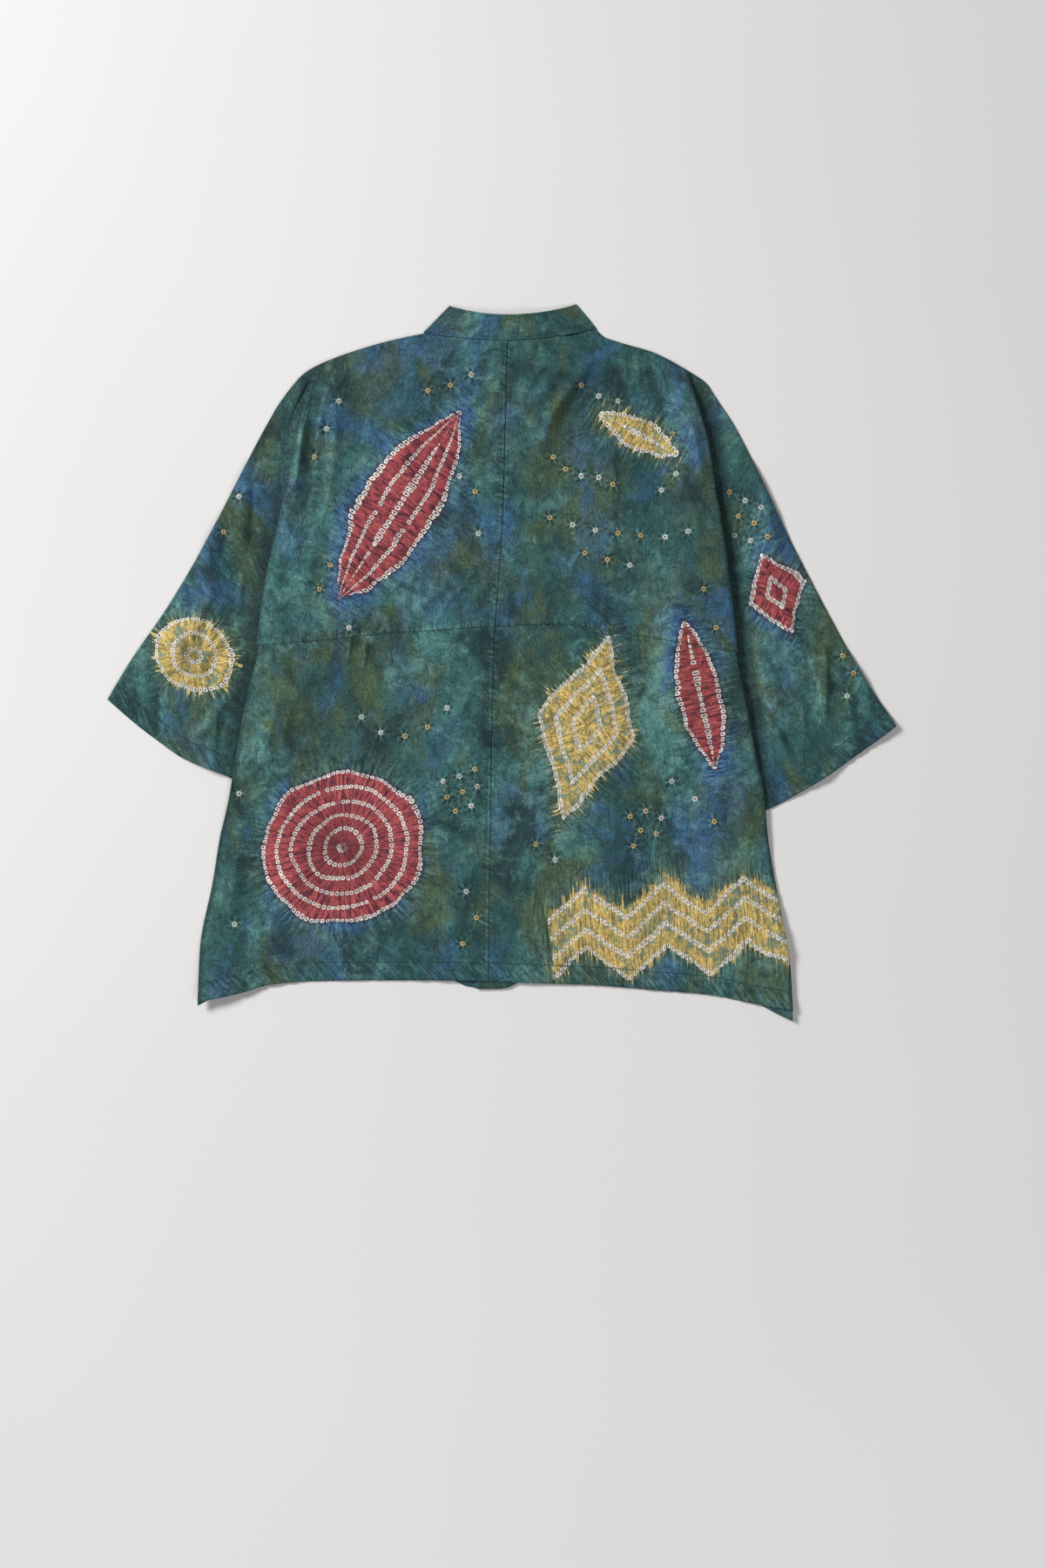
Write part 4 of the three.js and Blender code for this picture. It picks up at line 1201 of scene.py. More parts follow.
def volume(vertices, faces):
    """Signed volume: a sixth of the sum of a . (b x c) over the triangles of every face."""
    total = 0
    for block in faces:
        for k in range(1, block.shape[1] - 1):
            a, b, c = (vertices[block[:, i]] for i in (0, k, k + 1))
            total += np.einsum("ij,ij->i", a, np.cross(b, c)).sum() / 6
    return total


def shell(sheet, thick):
    """A closed wall of cloth: half its thickness to each side of the middle surface, along
    each point's own up, closed along the edges of the cells that the grid keeps."""
    rows, columns = sheet.middle.shape[:2]
    number = np.arange(rows * columns).reshape(rows, columns)
    kept = kept_cells(sheet.middle)
    a, b = number[:-1, :-1][kept], number[:-1, 1:][kept]
    c, d = number[1:, 1:][kept], number[1:, :-1][kept]
    below = rows * columns
    quads = [np.stack([a, d, c, b], axis=1), np.stack([a, b, c, d], axis=1) + below]
    ringed = np.pad(kept, 1)
    inner = ringed[1:-1, 1:-1]
    sides = (
        (ringed[:-2, 1:-1], number[:-1, :-1], number[:-1, 1:]),
        (ringed[1:-1, 2:], number[:-1, 1:], number[1:, 1:]),
        (ringed[2:, 1:-1], number[1:, 1:], number[1:, :-1]),
        (ringed[1:-1, :-2], number[1:, :-1], number[:-1, :-1]),
    )
    for beside, start, end in sides:
        open_edge = inner & ~beside
        p, q = start[open_edge], end[open_edge]
        quads.append(np.stack([p, q, q + below, p + below], axis=1))
    quads = np.concatenate(quads)
    middle = sheet.middle.reshape(-1, 3)
    half = (sheet.up * thick / 2).reshape(-1, 3)
    vertices = np.concatenate([middle + half, middle - half])
    used, quads = np.unique(quads, return_inverse=True)
    quads = quads.reshape(-1, 4)
    vertices = vertices[used]
    if volume(vertices, [quads]) < 0:
        quads = quads[:, ::-1]
    return vertices, quads, used % below


def from_seams(sheet, side):
    """How far each point lies above the waist seam, to the right of the centre back and out
    of the body's folded edge."""
    x, y = sheet.laid[..., 0], sheet.laid[..., 1]
    out = side.sign * x
    waist = np.where(sheet.on_sleeve, FAR, y - side.waist.at(out).y)
    edge = np.where(y > side.fold.rows[0, 0], side.fold.at(y).out, side.hip.at(y).out)
    return np.stack([waist, x - CENTRE.at(y).x, out - edge], axis=-1)


def cloth_piece(sheet, side, sizes, material, is_back):
    """Adds a sheet's relief and edge lifts, and makes its mesh with the values that the
    dye and the painted shade are worked out from."""
    height = relief(sheet, sizes, is_back)
    sheet.middle = sheet.point + sheet.up * height[..., None]
    sheet.middle[..., 2] += edge_lift(sheet.point[..., 0], sheet.point[..., 1])
    vertices, quads, source = shell(sheet, sizes.cloth / MM)
    field = sheet.field
    level = 0 if is_back else 30
    cloth_y = sheet.laid[..., 1] * 0.1
    maps = {
        "place": np.stack([sheet.across * 0.1, cloth_y, np.full_like(cloth_y, level)], axis=-1),
        "hem": np.stack([sheet.to_hem, 0 * cloth_y, 0 * cloth_y], axis=-1),
        "figure": np.stack([field.red, field.ochre, field.halo], axis=-1),
        # the relief's height goes along, for the painted shade where it lies low
        "rows": np.stack([field.along, field.inward, height], axis=-1),
        "ridges": field.ridges,
        "spot": sheet.offset,
        # the third distance, out of the folded edge, places the painted shade beside the fold
        "seam": from_seams(sheet, side) if side and is_back else np.full_like(sheet.middle, FAR),
    }
    maps = {key: values.reshape(-1, 3)[source] for key, values in maps.items()}
    piece = add_piece(sheet.name + "_silk", vertices, [quads], material, maps)
    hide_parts(sheet.name)
    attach(piece, "root")
    return piece


def line_across(sheet, to_edge, distance, rows=slice(None), columns=slice(None)):
    """The line on a sheet that runs at a distance from its last row: between the two rows
    of each column that lie to its two sides, at the share that the distance gives."""
    middle, away = sheet.middle[rows, columns], to_edge
    row = np.maximum((away > distance).sum(axis=0), 1)
    column = np.arange(away.shape[1])
    high, low = away[row - 1, column], away[row, column]
    share = ((high - distance) / (high - low))[:, None]
    return mix(middle[row - 1, column], middle[row, column], share)


def line_beside(sheet, distance, columns):
    """The line that runs down a sheet at a distance from its first column, looked for among
    its first few columns."""
    rows = np.isfinite(sheet.middle[:, 0, 0])
    middle = sheet.middle[rows, :columns][:, ::-1].transpose(1, 0, 2)
    away = np.linalg.norm(middle - middle[-1], axis=-1)
    return line_across(SimpleNamespace(middle=middle), away, distance)


def spun_faces(rings, turns):
    """The faces of a shape of rings round an axis, with a point at each end that follows
    them: quads from ring to ring, and a fan from each end's ring to its point."""
    ring, turn = np.meshgrid(np.arange(rings - 1), np.arange(turns), indexing="ij")
    a, b = ring * turns + turn, ring * turns + (turn + 1) % turns
    quads = np.stack([a, b, b + turns, a + turns], axis=-1).reshape(-1, 4)
    turn = np.arange(turns)
    beyond = (turn + 1) % turns
    last, tip = (rings - 1) * turns, rings * turns
    start = np.stack([turn * 0 + tip, beyond, turn], axis=1)
    end = np.stack([turn * 0 + tip + 1, last + turn, last + beyond], axis=1)
    return quads, np.concatenate([start, end])


def stitches(line, pitch, length, radius, rise):
    """Stitches along a line, each a closed five-sided spindle: rings at 4 places along it,
    with the radius sqrt(1 - t^2) of a spindle, and a point at each end. Each is turned a
    little from the line, and a little longer or shorter, by noise."""
    step = np.linalg.norm(np.diff(line, axis=0), axis=1)
    total = np.concatenate([[0], np.cumsum(step)])
    places = np.arange(pitch * 0.8, total[-1] - pitch * 0.6, pitch)
    centre = np.stack([np.interp(places, total, line[:, axis]) for axis in range(3)], axis=1)
    ahead = np.stack([np.interp(places + 1, total, line[:, axis]) for axis in range(3)], axis=1)
    way = ahead - centre
    way /= np.linalg.norm(way, axis=1, keepdims=True)
    side = np.stack([-way[:, 1], way[:, 0], 0 * way[:, 0]], axis=1)
    turned = 0.12 * noise(places / 3.1, 5)
    way, side = (
        way * np.cos(turned)[:, None] + side * np.sin(turned)[:, None],
        side * np.cos(turned)[:, None] - way * np.sin(turned)[:, None],
    )
    up = np.cross(way, side)
    along = np.array([-0.85, -0.4, 0.4, 0.85])
    swell = np.sqrt(1 - along**2) * radius
    angle = np.arange(5) * 2 * np.pi / 5
    half = length / 2 * (1 + 0.15 * noise(places / 2.3, 9))
    centre = centre + up * (rise + 0.4 * radius)
    rings = (
        centre[:, None, None]
        + way[:, None, None] * (along[None, :, None, None] * half[:, None, None, None])
        + side[:, None, None] * (swell[:, None] * np.cos(angle))[None, ..., None]
        + up[:, None, None] * (swell[:, None] * np.sin(angle))[None, ..., None]
    )
    tips = np.stack([centre - way * half[:, None], centre + way * half[:, None]], axis=1)
    vertices = np.concatenate([rings.reshape(len(places), 20, 3), tips], axis=1)
    offset = (np.arange(len(places)) * vertices.shape[1])[:, None, None]
    blocks = spun_faces(len(along), len(angle))
    faces = [(block[None] + offset).reshape(-1, block.shape[1]) for block in blocks]
    return vertices.reshape(-1, 3), faces


def join_arrays(parts):
    """One list of vertices and two of faces from several of each."""
    vertices, quads, triangles, offset = [], [], [], 0
    for points, (four, three) in parts:
        vertices.append(points)
        quads.append(four + offset)
        triangles.append(three + offset)
        offset += len(points)
    return np.concatenate(vertices), [np.concatenate(quads), np.concatenate(triangles)]


def outward(vertices, faces):
    """The faces, turned round if they enclose a negative volume."""
    return faces if volume(vertices, faces) > 0 else [block[:, ::-1] for block in faces]


def button_surface(y):
    """A round button with a dished face, a rim and four holes. Its profile is carried round:
    the height of the underside is dish f(r) plus 1.3 for r inside a hole; the top is flat."""
    shares = [0.06, 0.13, 0.18, 0.22, 0.26, 0.3, 0.34, 0.38]
    shares += [0.44, 0.52, 0.6, 0.68, 0.76, 0.85, 0.93, 0.985]
    r = BUTTON_RADIUS * np.array(shares)
    angle = np.arange(BUTTON_TURNS) * 2 * np.pi / BUTTON_TURNS
    x, yy = r[:, None] * np.cos(angle), r[:, None] * np.sin(angle)
    rim = 0.35 * ease(r / BUTTON_RADIUS, 0.86, 1) ** 2
    face = 0.5 * (1 - ease(r / BUTTON_RADIUS, 0.5, 0.78)) + rim
    hole = np.hypot(np.abs(x) - HOLE_OFFSET, np.abs(yy) - HOLE_OFFSET)
    under = np.stack([x, yy, face[:, None] + 1.3 * (1 - ease(hole, 0.45, 0.72))], axis=-1)
    side_r = (BUTTON_RADIUS * np.array([1, 1, 0.985, 0.93, 0.6, 0.25]))[:, None]
    side_z = np.array([0.75, 1.7, 2.05, BUTTON_THICK, BUTTON_THICK, BUTTON_THICK])[:, None]
    rest = [side_r * np.cos(angle), side_r * np.sin(angle), side_z + 0 * angle]
    rings = np.concatenate([under, np.stack(rest, axis=-1)])
    ends = [[0, 0, 0.5], [0, 0, BUTTON_THICK]]
    vertices = np.concatenate([rings.reshape(-1, 3), ends])
    vertices += [CENTRE.at(np.array(float(y))).x, y, 0]
    return vertices, outward(vertices, list(spun_faces(len(rings), BUTTON_TURNS)))


# Materials


class Socket:
    """A shader socket that Python's operators act on. On a value each adds a Math node, on a
    vector a Vector Math node."""

    def __init__(self, graph, socket):
        self.graph = graph
        self.socket = socket
        self.is_vector = socket.type == "VECTOR"

    def apply(self, operation, first, second):
        """The operation as a node of this socket's kind."""
        if self.is_vector:
            return self.graph.vector(operation, first, second)
        return self.graph.maths(operation, first, second)

    def __add__(self, other):
        return self.apply("ADD", self, other)

    def __radd__(self, other):
        return self.apply("ADD", other, self)

    def __sub__(self, other):
        return self.apply("SUBTRACT", self, other)

    def __rsub__(self, other):
        return self.apply("SUBTRACT", other, self)

    def __mul__(self, other):
        return self.apply("MULTIPLY", self, other)

    def __rmul__(self, other):
        return self.apply("MULTIPLY", other, self)

    def __truediv__(self, other):
        return self.apply("DIVIDE", self, other)

    def __abs__(self):
        return self.graph.maths("ABSOLUTE", self)


class Graph:
    """The nodes of one material."""

    def __init__(self, name):
        self.material = bpy.data.materials.new(name)
        self.material.use_nodes = True
        self.tree = self.material.node_tree
        self.tree.nodes.clear()

    def node(self, kind, settings=None, **sockets):
        """Adds a node: its settings first, then a value or a link for each named socket."""
        node = self.tree.nodes.new("ShaderNode" + kind)
        for key, value in (settings or {}).items():
            setattr(node, key, value)
        for key, value in sockets.items():
            self.feed(self.find(node.inputs, key), value)
        return node

    def find(self, sockets, key):
        """The socket whose identifier or name, with spaces as underlines, is key."""
        for socket in sockets:
            if key in (socket.identifier, socket.name.replace(" ", "_")) and socket.enabled:
                return socket
        raise KeyError(key)

    def feed(self, socket, value):
        """Links a socket to another, or gives it a value: one number to all three of a vector."""
        if isinstance(value, Socket):
            self.tree.links.new(value.socket, socket)
        elif isinstance(value, (int, float)) and socket.type == "VECTOR":
            socket.default_value = (value, value, value)
        else:
            socket.default_value = value

    def out(self, node, key):
        """A node's output by name."""
        return Socket(self, self.find(node.outputs, key))

    def operate(self, kind, operation, values):
        """A node that works one operation on values in order."""
        node = self.node(kind, {"operation": operation})
        for socket, value in zip(node.inputs, values):
            self.feed(socket, value)
        return Socket(self, node.outputs[0])

    def maths(self, operation, *values):
        """An operation on numbers."""
        return self.operate("Math", operation, values)

    def vector(self, operation, *values):
        """An operation on vectors."""
        return self.operate("VectorMath", operation, values)

    def smooth(self, value, low, high):
        """0 below low, 1 above high, with a smooth step between."""
        node = self.node(
            "MapRange", {"interpolation_type": "SMOOTHSTEP"}, Value=value, From_Min=low, From_Max=high
        )
        return self.out(node, "Result")

    def below(self, value, low, high):
        """1 below low, 0 above high, with a smooth step between."""
        return 1 - self.smooth(value, low, high)

    def between(self, value, low, full, still, end):
        """Rises by a smooth step from low to full, and falls by another from still to end."""
        return self.smooth(value, low, full) * self.below(value, still, end)

    def length(self, a, b):
        """The square root of a^2 + b^2."""
        return self.maths("SQRT", a * a + b * b)

    def layered(self, base, *layers):
        """A colour with others laid over it in turn, each with the share that it covers."""
        for over, share in layers:
            base = self.blend(base, over, share)
        return base

    def blend(self, a, b, share):
        """Colour a share of the way from a to b."""
        node = self.node(
            "Mix", {"data_type": "RGBA"}, Factor_Float=share, A_Color=colour(a), B_Color=colour(b)
        )
        return self.out(node, "Result_Color")

    def noise(self, place, scale, detail=3.0, roughness=0.55, distortion=0.0, shift=0.0):
        """Noise from about 0.2 to 0.8 at a place, moved on by shift."""
        node = self.node(
            "TexNoise",
            {"noise_dimensions": "3D"},
            Vector=place + shift if shift else place,
            Scale=scale,
            Detail=detail,
            Roughness=roughness,
            Distortion=distortion,
        )
        return Socket(self, node.outputs[0])

    def ticks(self, x, y, z):
        """Noise for short dark and light ticks, at a place given by three numbers."""
        place = self.node("CombineXYZ", X=x, Y=y, Z=z)
        return self.noise(self.out(place, "Vector"), 1.0, 2, 0.5, 0.2)

    def object_place(self):
        """The place on the piece, in metres."""
        return self.out(self.node("TexCoord"), "Object")

    def parts(self, name):
        """The three numbers of a mesh attribute."""
        node = self.node("SeparateXYZ", Vector=self.attribute(name))
        return [Socket(self, output) for output in node.outputs]

    def attribute(self, name):
        """A mesh attribute as a vector."""
        return self.out(self.node("Attribute", {"attribute_name": name}), "Vector")

    def finish(self, normal=None, **sockets):
        """The Principled shader and the output."""
        shader = self.node("BsdfPrincipled", **sockets)
        if normal is not None:
            self.feed(shader.inputs["Normal"], normal)
        output = self.node("OutputMaterial")
        self.tree.links.new(shader.outputs[0], output.inputs[0])
        return self.material

    def bump(self, height, distance):
        """The normal of a surface raised by height times distance, in metres."""
        return self.out(self.node("Bump", Height=height, Distance=distance, Strength=1.0), "Normal")


def colour(value):
    """A colour as a shader takes it: a link unchanged, or three numbers with an alpha of 1."""
    return value if isinstance(value, Socket) else (*tuple(value)[:3], 1)


def dye(red, green, blue):
    """A colour given as on a screen, 0 to 255, in the linear numbers that Blender keeps."""
    shares = [c / 255 for c in (red, green, blue)]
    return tuple(s / 12.92 if s <= 0.04045 else ((s + 0.055) / 1.055) ** 2.4 for s in shares)


def toned(base, times, plus=0):
    """A colour's three numbers, each times one number plus another, and 1 at most."""
    return tuple(min(times * c + plus, 1) for c in tuple(base)[:3])


def silk(name, colours):
    """Hand-dyed silk, worked out at each point's place in the flat cloth.

    The ground is teal under clouds of other dyes, each a smooth step of its own noise plus a
    share of a finer one, bluer beside red figures and more olive beside ochre ones, with a
    painted highlight along its fine crease lines. Inside a figure, where the distance to its
    outline plus noise is below 0, the dye is red or ochre: darker where the noise along its
    ridges is low and lighter where it is high. Undyed rings follow its rows, one to each
    DOT_PITCH, at 0.7 to 2.85 mm from their middles. Each tied dot is such a ring too, with
    creases where cos(6 angle) is high. Seams, stitches and hems darken by smooth steps of the
    distance to them. Painted shade darkens the cloth beside the side folds and where the relief
    lies low, and painted shade and highlight mark the puckers by the seams and hems. The bump is
    the weighted sum of the gathers, crumple, crease lines, rings, stars and hem ticks."""
    g = Graph(name)
    place = g.attribute("place")
    red_away, ochre_away, halo = g.parts("figure")
    along, inward, height = g.parts("rows")
    ridges = g.attribute("ridges")
    above_waist, from_centre, past_fold = g.parts("seam")
    to_hem = g.parts("hem")[0]
    across, down = g.parts("place")[:2]
    dot_x, dot_y, dot_number = g.parts("spot")

    # noises, from the largest clouds to the finest specks
    brushed = place * (1.0, 0.6, 1.0)
    cloud = g.noise(brushed, 0.085, 3, 0.5, 0.7)
    drift = g.noise(brushed, 0.12, 3, 0.55, 0.9, 17.3)
    patch = g.noise(brushed, 0.15, 3, 0.55, 0.6, 41.7)
    shade = g.noise(brushed, 0.19, 4, 0.55, 0.8, 63.1)
    mottle = g.noise(place, 0.7, 5, 0.6, 0.6, 5.1)
    speck = g.noise(place, 2.6, 5, 0.6, 0.3, 9.4)
    gather = g.noise(ridges, 1.0, 3, 0.6, 0.2)
    streak = g.noise(ridges * (1.9, 0.7, 1.9), 1.0, 3, 0.6, 0.5, 3.3)
    crease_line = g.below(abs(g.noise(place, 0.45, 4, 0.6, 1.2, 23.0) - 0.5), 0.0, 0.03)
    thin_crease_line = g.noise(place * (1.2, 0.7, 1.0), 0.8, 3, 0.6, 1.4, 51.0)
    thin_crease_line = g.below(abs(thin_crease_line - 0.5), 0.0, 0.035)
    grain = g.noise(place * (5.0, 0.5, 5.0), 1.0, 3, 0.6, 0.4, 37.0)

    # the ground
    by_red = g.below(red_away + 14 * (mottle - 0.5), 4, 26)
    by_ochre = g.below(ochre_away + 12 * (mottle - 0.5), 2, 20)
    ground = g.layered(
        colours.ground,
        (colours.teal, g.smooth(cloud + 0.25 * mottle, 0.5, 0.86)),
        (colours.olive, 0.9 * g.smooth(patch + 0.16 * mottle, 0.5, 0.72)),
        (colours.blue, 0.85 * g.smooth(drift + 0.24 * mottle, 0.58, 0.82)),
        (colours.deep, 0.85 * g.smooth(shade + 0.15 * speck, 0.54, 0.76)),
        (colours.deep, 0.4 * g.smooth(0.5 - mottle, 0.0, 0.14)),
        (colours.deep, 0.3 * g.smooth(0.5 - grain, 0.0, 0.14)),
        # painted highlight along the fine crease lines
        (colours.light, (0.1 * crease_line + 0.08 * thin_crease_line) * g.smooth(speck, 0.35, 0.7)),
        (colours.light, 0.36 * g.smooth(mottle + 0.6 * cloud + 0.12 * halo, 0.84, 1.06)),
        (colours.bright_blue, 0.85 * by_red * g.smooth(cloud + 0.5 * drift, 0.68, 0.9)),
        (colours.olive, 0.5 * by_ochre),
        (colours.light, 0.6 * halo * g.smooth(streak, 0.46, 0.66)),
        (colours.deep, 0.75 * halo * g.smooth(0.5 - streak, 0.02, 0.12)),
    )

    # the figures
    ragged = 9 * (gather - 0.5) + 7 * (mottle - 0.5) + 6 * (speck - 0.5)
    in_red = g.below(red_away + ragged, -1.4, 1.4)
    spikes = 15 * g.smooth(streak, 0.47, 0.74)
    in_ochre = g.below(ochre_away + ragged - spikes * g.smooth(ochre_away, -1, 2), -1.4, 1.8)
    valley = 0.35 * gather + 0.65 * streak + 0.2 * (mottle - 0.5) + 0.22 * (speck - 0.5)
    valley = g.below(valley, 0.42, 0.5)
    crest = g.smooth(0.4 * gather + 0.6 * streak, 0.5, 0.62)
    red = g.layered(
        colours.red,
        (colours.red_dark, 0.95 * valley * g.smooth(speck, 0.25, 0.5)),
        (colours.red_light, 0.5 * crest),
        (colours.orange, 0.5 * g.smooth(cloud + 0.3 * mottle, 0.74, 0.9)),
    )
    ochre = g.layered(
        colours.ochre,
        (colours.ochre_light, 0.6 * crest),
        (colours.ochre_dark, 0.8 * valley),
        (colours.teal, 0.75 * g.smooth(mottle + 0.45 * streak + 0.2 * cloud, 0.83, 0.93)),
    )

    # undyed rings along the rows
    rows = inward / ROW_SPACING
    row = g.maths("ROUND", rows)
    off_row = abs(rows - row) * ROW_SPACING
    cell = along / DOT_PITCH
    cell_at = g.node("CombineXYZ", X=g.maths("FLOOR", cell), Y=row, Z=0.0)
    number = g.node("TexWhiteNoise", {"noise_dimensions": "2D"}, Vector=g.out(cell_at, "Vector"))
    chance = Socket(g, number.outputs[0])
    off_dot = abs(g.maths("FRACT", cell) - 0.5 + 0.16 * (chance - 0.5)) * DOT_PITCH
    off_line = abs(off_row - 1.3 * (chance - 0.5))
    round_off = 0.45 * g.maths("MAXIMUM", off_dot, off_line) + 0.55 * g.length(off_dot, off_line)
    reach = round_off * (0.86 + 0.34 * chance) + 0.5 * (speck - 0.5)
    figure_away = g.maths("MINIMUM", red_away, ochre_away)
    placed = g.below(figure_away, 2.2, 2.8) * g.smooth(chance, 0.01, 0.03)
    ring = g.between(reach, 0.7, 1.25, 2.25, 2.85) * placed
    centre = g.below(reach, 0.7, 1.2) * placed

    # tied dots
    spot_away = g.length(dot_x, dot_y)
    turned = g.maths("ARCTAN2", dot_y, dot_x)
    bent = turned * 6 + dot_number * 40 + 7 * (speck - 0.5) + 4 * mottle
    star = g.maths("COSINE", bent) * 0.5 + 0.5
    clear = g.smooth(figure_away, 4, 12)
    star_fade = g.below(spot_away + 12 * (mottle - 0.5), 2.5, 11.5) * clear
    warm = g.smooth(g.maths("SINE", dot_number * 173), -0.2, 0.1)
    uneven = spot_away + 1.6 * (speck - 0.5)
    tied = g.between(uneven, 0.8, 1.3, 2.4, 3.2) * clear

    # seams and hems, and the painted shade beside the side folds
    figure_here = g.maths("MAXIMUM", in_red, in_ochre)
    holes = g.smooth(g.maths("SINE", across * 18 + 3 * mottle), -0.5, 0.6)
    at_waist = g.below(abs(above_waist), 0.5, 1.3) * (0.1 + 0.7 * holes)
    worn = g.smooth(mottle, 0.36, 0.6)
    at_centre = g.below(abs(from_centre), 0.2, 1.0) * (0.1 + 0.45 * worn)
    needle = g.smooth(g.maths("SINE", down * 18.5), 0.2, 0.8)
    at_stitches = g.below(abs(from_centre + ALLOWANCE), 0.3, 1.0) * (0.45 + 0.55 * needle)
    seams = g.maths("MAXIMUM", g.maths("MAXIMUM", at_waist, at_centre), at_stitches)
    turned_under = g.between(from_centre, -7.5, -6.5, -1.2, -0.4)
    drawn = g.ticks(down * 2.9 + 0.1 * from_centre, 0.05 * from_centre, 0.0)
    near_centre = g.below(abs(from_centre + ALLOWANCE / 2), 3, 9)
    ticks = g.ticks(across * 2.7 + 0.22 * to_hem, 0.05 * to_hem, down * 0.3)
    in_hem = g.below(abs(to_hem - 9), 9, 17)
    ticked = g.maths("MAXIMUM", in_hem, g.below(abs(above_waist), 1, 13))
    painted_fold_shade = g.between(past_fold, -7, -1, 8, 22)

    cloth = g.layered(
        ground,
        (colours.plum, 0.75 * g.between(red_away + ragged, -3, 1, 2, 7)),
        (red, in_red),
        (ochre, in_ochre),
        (colours.plum, 0.55 * centre),
        (colours.undyed, 0.97 * ring),
        (colours.deep, 0.9 * star_fade * g.smooth(star, 0.55, 0.9)),
        (colours.light, 0.3 * star_fade * g.smooth(0.4 - star, 0.0, 0.3)),
        (g.blend(colours.light, colours.olive, warm), 0.45 * (g.below(uneven, 2.4, 5.5) * clear)),
        (g.blend(colours.undyed, colours.ochre, 0.85 * warm), 0.93 * tied),
        # painted shade where the relief lies low
        (colours.deep, 0.35 * g.below(height, -0.9, 0.1)),
        (colours.deep, 0.7 * seams),
        (colours.light, 0.08 * turned_under * worn),
        # painted shade and highlight of the short puckers beside the centre back seam
        (colours.deep, 0.5 * near_centre * g.smooth(0.5 - drawn, 0.02, 0.12)),
        (colours.light, 0.2 * near_centre * g.smooth(drawn - 0.5, 0.03, 0.14)),
        # painted shade and highlight of the puckers in the hems and beside the waist seam, which the
        # bump raises too
        (colours.deep, 0.42 * ticked * g.smooth(0.5 - ticks, 0.02, 0.12)),
        (colours.light, 0.16 * ticked * g.smooth(ticks - 0.5, 0.03, 0.14)),
        (colours.deep, 0.5 * g.below(abs(to_hem - 21), 0.3, 1.1)),
        # painted shade on the cloth beside the body's folded side edges
        (colours.deep, 0.7 * painted_fold_shade * (1 - 0.6 * figure_here)),
    )

    crumple = g.noise(place, 1.9, 4, 0.6, 0.7, 31.0)
    weave = g.noise(place, 14.0, 2, 0.5)
    raised = (gather - 0.5) * (1.8 * figure_here + 0.9 * halo)
    raised = raised + (streak - 0.5) * (2.6 * figure_here + 1.7 * halo)
    raised = raised + 0.8 * crumple + 0.03 * weave + 0.55 * ring - 0.5 * centre + 0.6 * tied
    raised = raised - 1.5 * star_fade * star + 2.4 * ticked * (ticks - 0.5)
    raised = raised + 0.8 * crease_line + 0.55 * thin_crease_line
    return g.finish(
        g.bump(raised, MM),
        Base_Color=cloth,
        Roughness=0.5 + 0.25 * mottle,
        IOR=1.45,
        Specular_IOR_Level=0.22,
        Sheen_Weight=0.06,
        Sheen_Roughness=0.45,
        Sheen_Tint=(0.85, 0.9, 0.92, 1),
    )


def thread_material(name, base):
    """Twisted thread: its colour a little uneven from one end to the other."""
    g = Graph(name)
    place = g.object_place()
    uneven = g.noise(place, 900.0, 2)
    return g.finish(
        g.bump(g.noise(place, 2600.0, 1), 0.0001),
        Base_Color=g.blend(base, toned(base, 0.55), g.smooth(uneven, 0.4, 0.65)),
        Roughness=0.62,
    )


def shell_material(name, base):
    """Dyed shell: cloudy bands that shine softly under a thin clear coat."""
    g = Graph(name)
    bands = g.noise(g.object_place(), 420.0, 4, 0.6, 1.6)
    return g.finish(
        g.bump(bands, 0.00005),
        Base_Color=g.blend(base, toned(base, 1.7, 0.03), g.smooth(bands, 0.42, 0.62)),
        Roughness=0.22 + 0.2 * bands,
        Coat_Weight=0.5,
        Coat_Roughness=0.15,
    )


def floor_material(name, base):
    """Matt painted board: very faint clouds in its colour."""
    g = Graph(name)
    clouds = g.smooth(g.noise(g.object_place(), 0.9, 2, 0.5), 0.35, 0.65)
    return g.finish(Base_Color=g.blend(base, toned(base, 0.97), clouds), Roughness=0.9)


# The add-on


def length_property(name, description, default):
    """A length in metres."""
    return FloatProperty(name=name, description=description, default=default, min=0, unit="LENGTH")


def plain_property(name, description, default, least=0):
    """A number without a unit, or one in millimetres."""
    return FloatProperty(name=name, description=description, default=default, min=least)


def colour_property(name, description, *screen):
    """A colour given as on a screen."""
    return FloatVectorProperty(
        name=name,
        description=description,
        default=dye(*screen),
        subtype="COLOR",
        size=3,
        min=0,
        max=1,
    )


class ShirtSizes(bpy.types.PropertyGroup):
    """Sizes of the cloth and of what is sewn into it"""

    cloth: length_property("Cloth", "Thickness of the cloth with its crepe", 0.0006)
    hem_width: length_property("Hem", "Width of the turned hem and cuffs", 0.021)
    stitch_pitch: length_property("Stitch pitch", "Distance from one stitch to the next", 0.0034)
    stitch_length: length_property("Stitch length", "Length of one stitch", 0.0025)
    thread: length_property("Thread", "Radius of the sewing thread", 0.00032)
    crease_height: plain_property("Creases", "Height of the creases, against their own", 2.1)
    fold_fullness: plain_property("Folds", "How much fuller the soft folds are than the solids'", 1.2)
    gather_height: plain_property("Gathers", "Height of the gathered figures in millimetres", 1.8)
    upper_spacing: plain_property("Upper mesh", "Mesh spacing of the upper back in millimetres", 2.2, 1)
    lower_spacing: plain_property("Lower mesh", "Mesh spacing of the lower back in millimetres", 1.85, 1)
    front_spacing: plain_property("Front mesh", "Mesh spacing of the fronts in millimetres", 4.5, 1)
    collar_spacing: plain_property("Collar mesh", "Mesh spacing of the collar in millimetres", 1.3, 0.5)


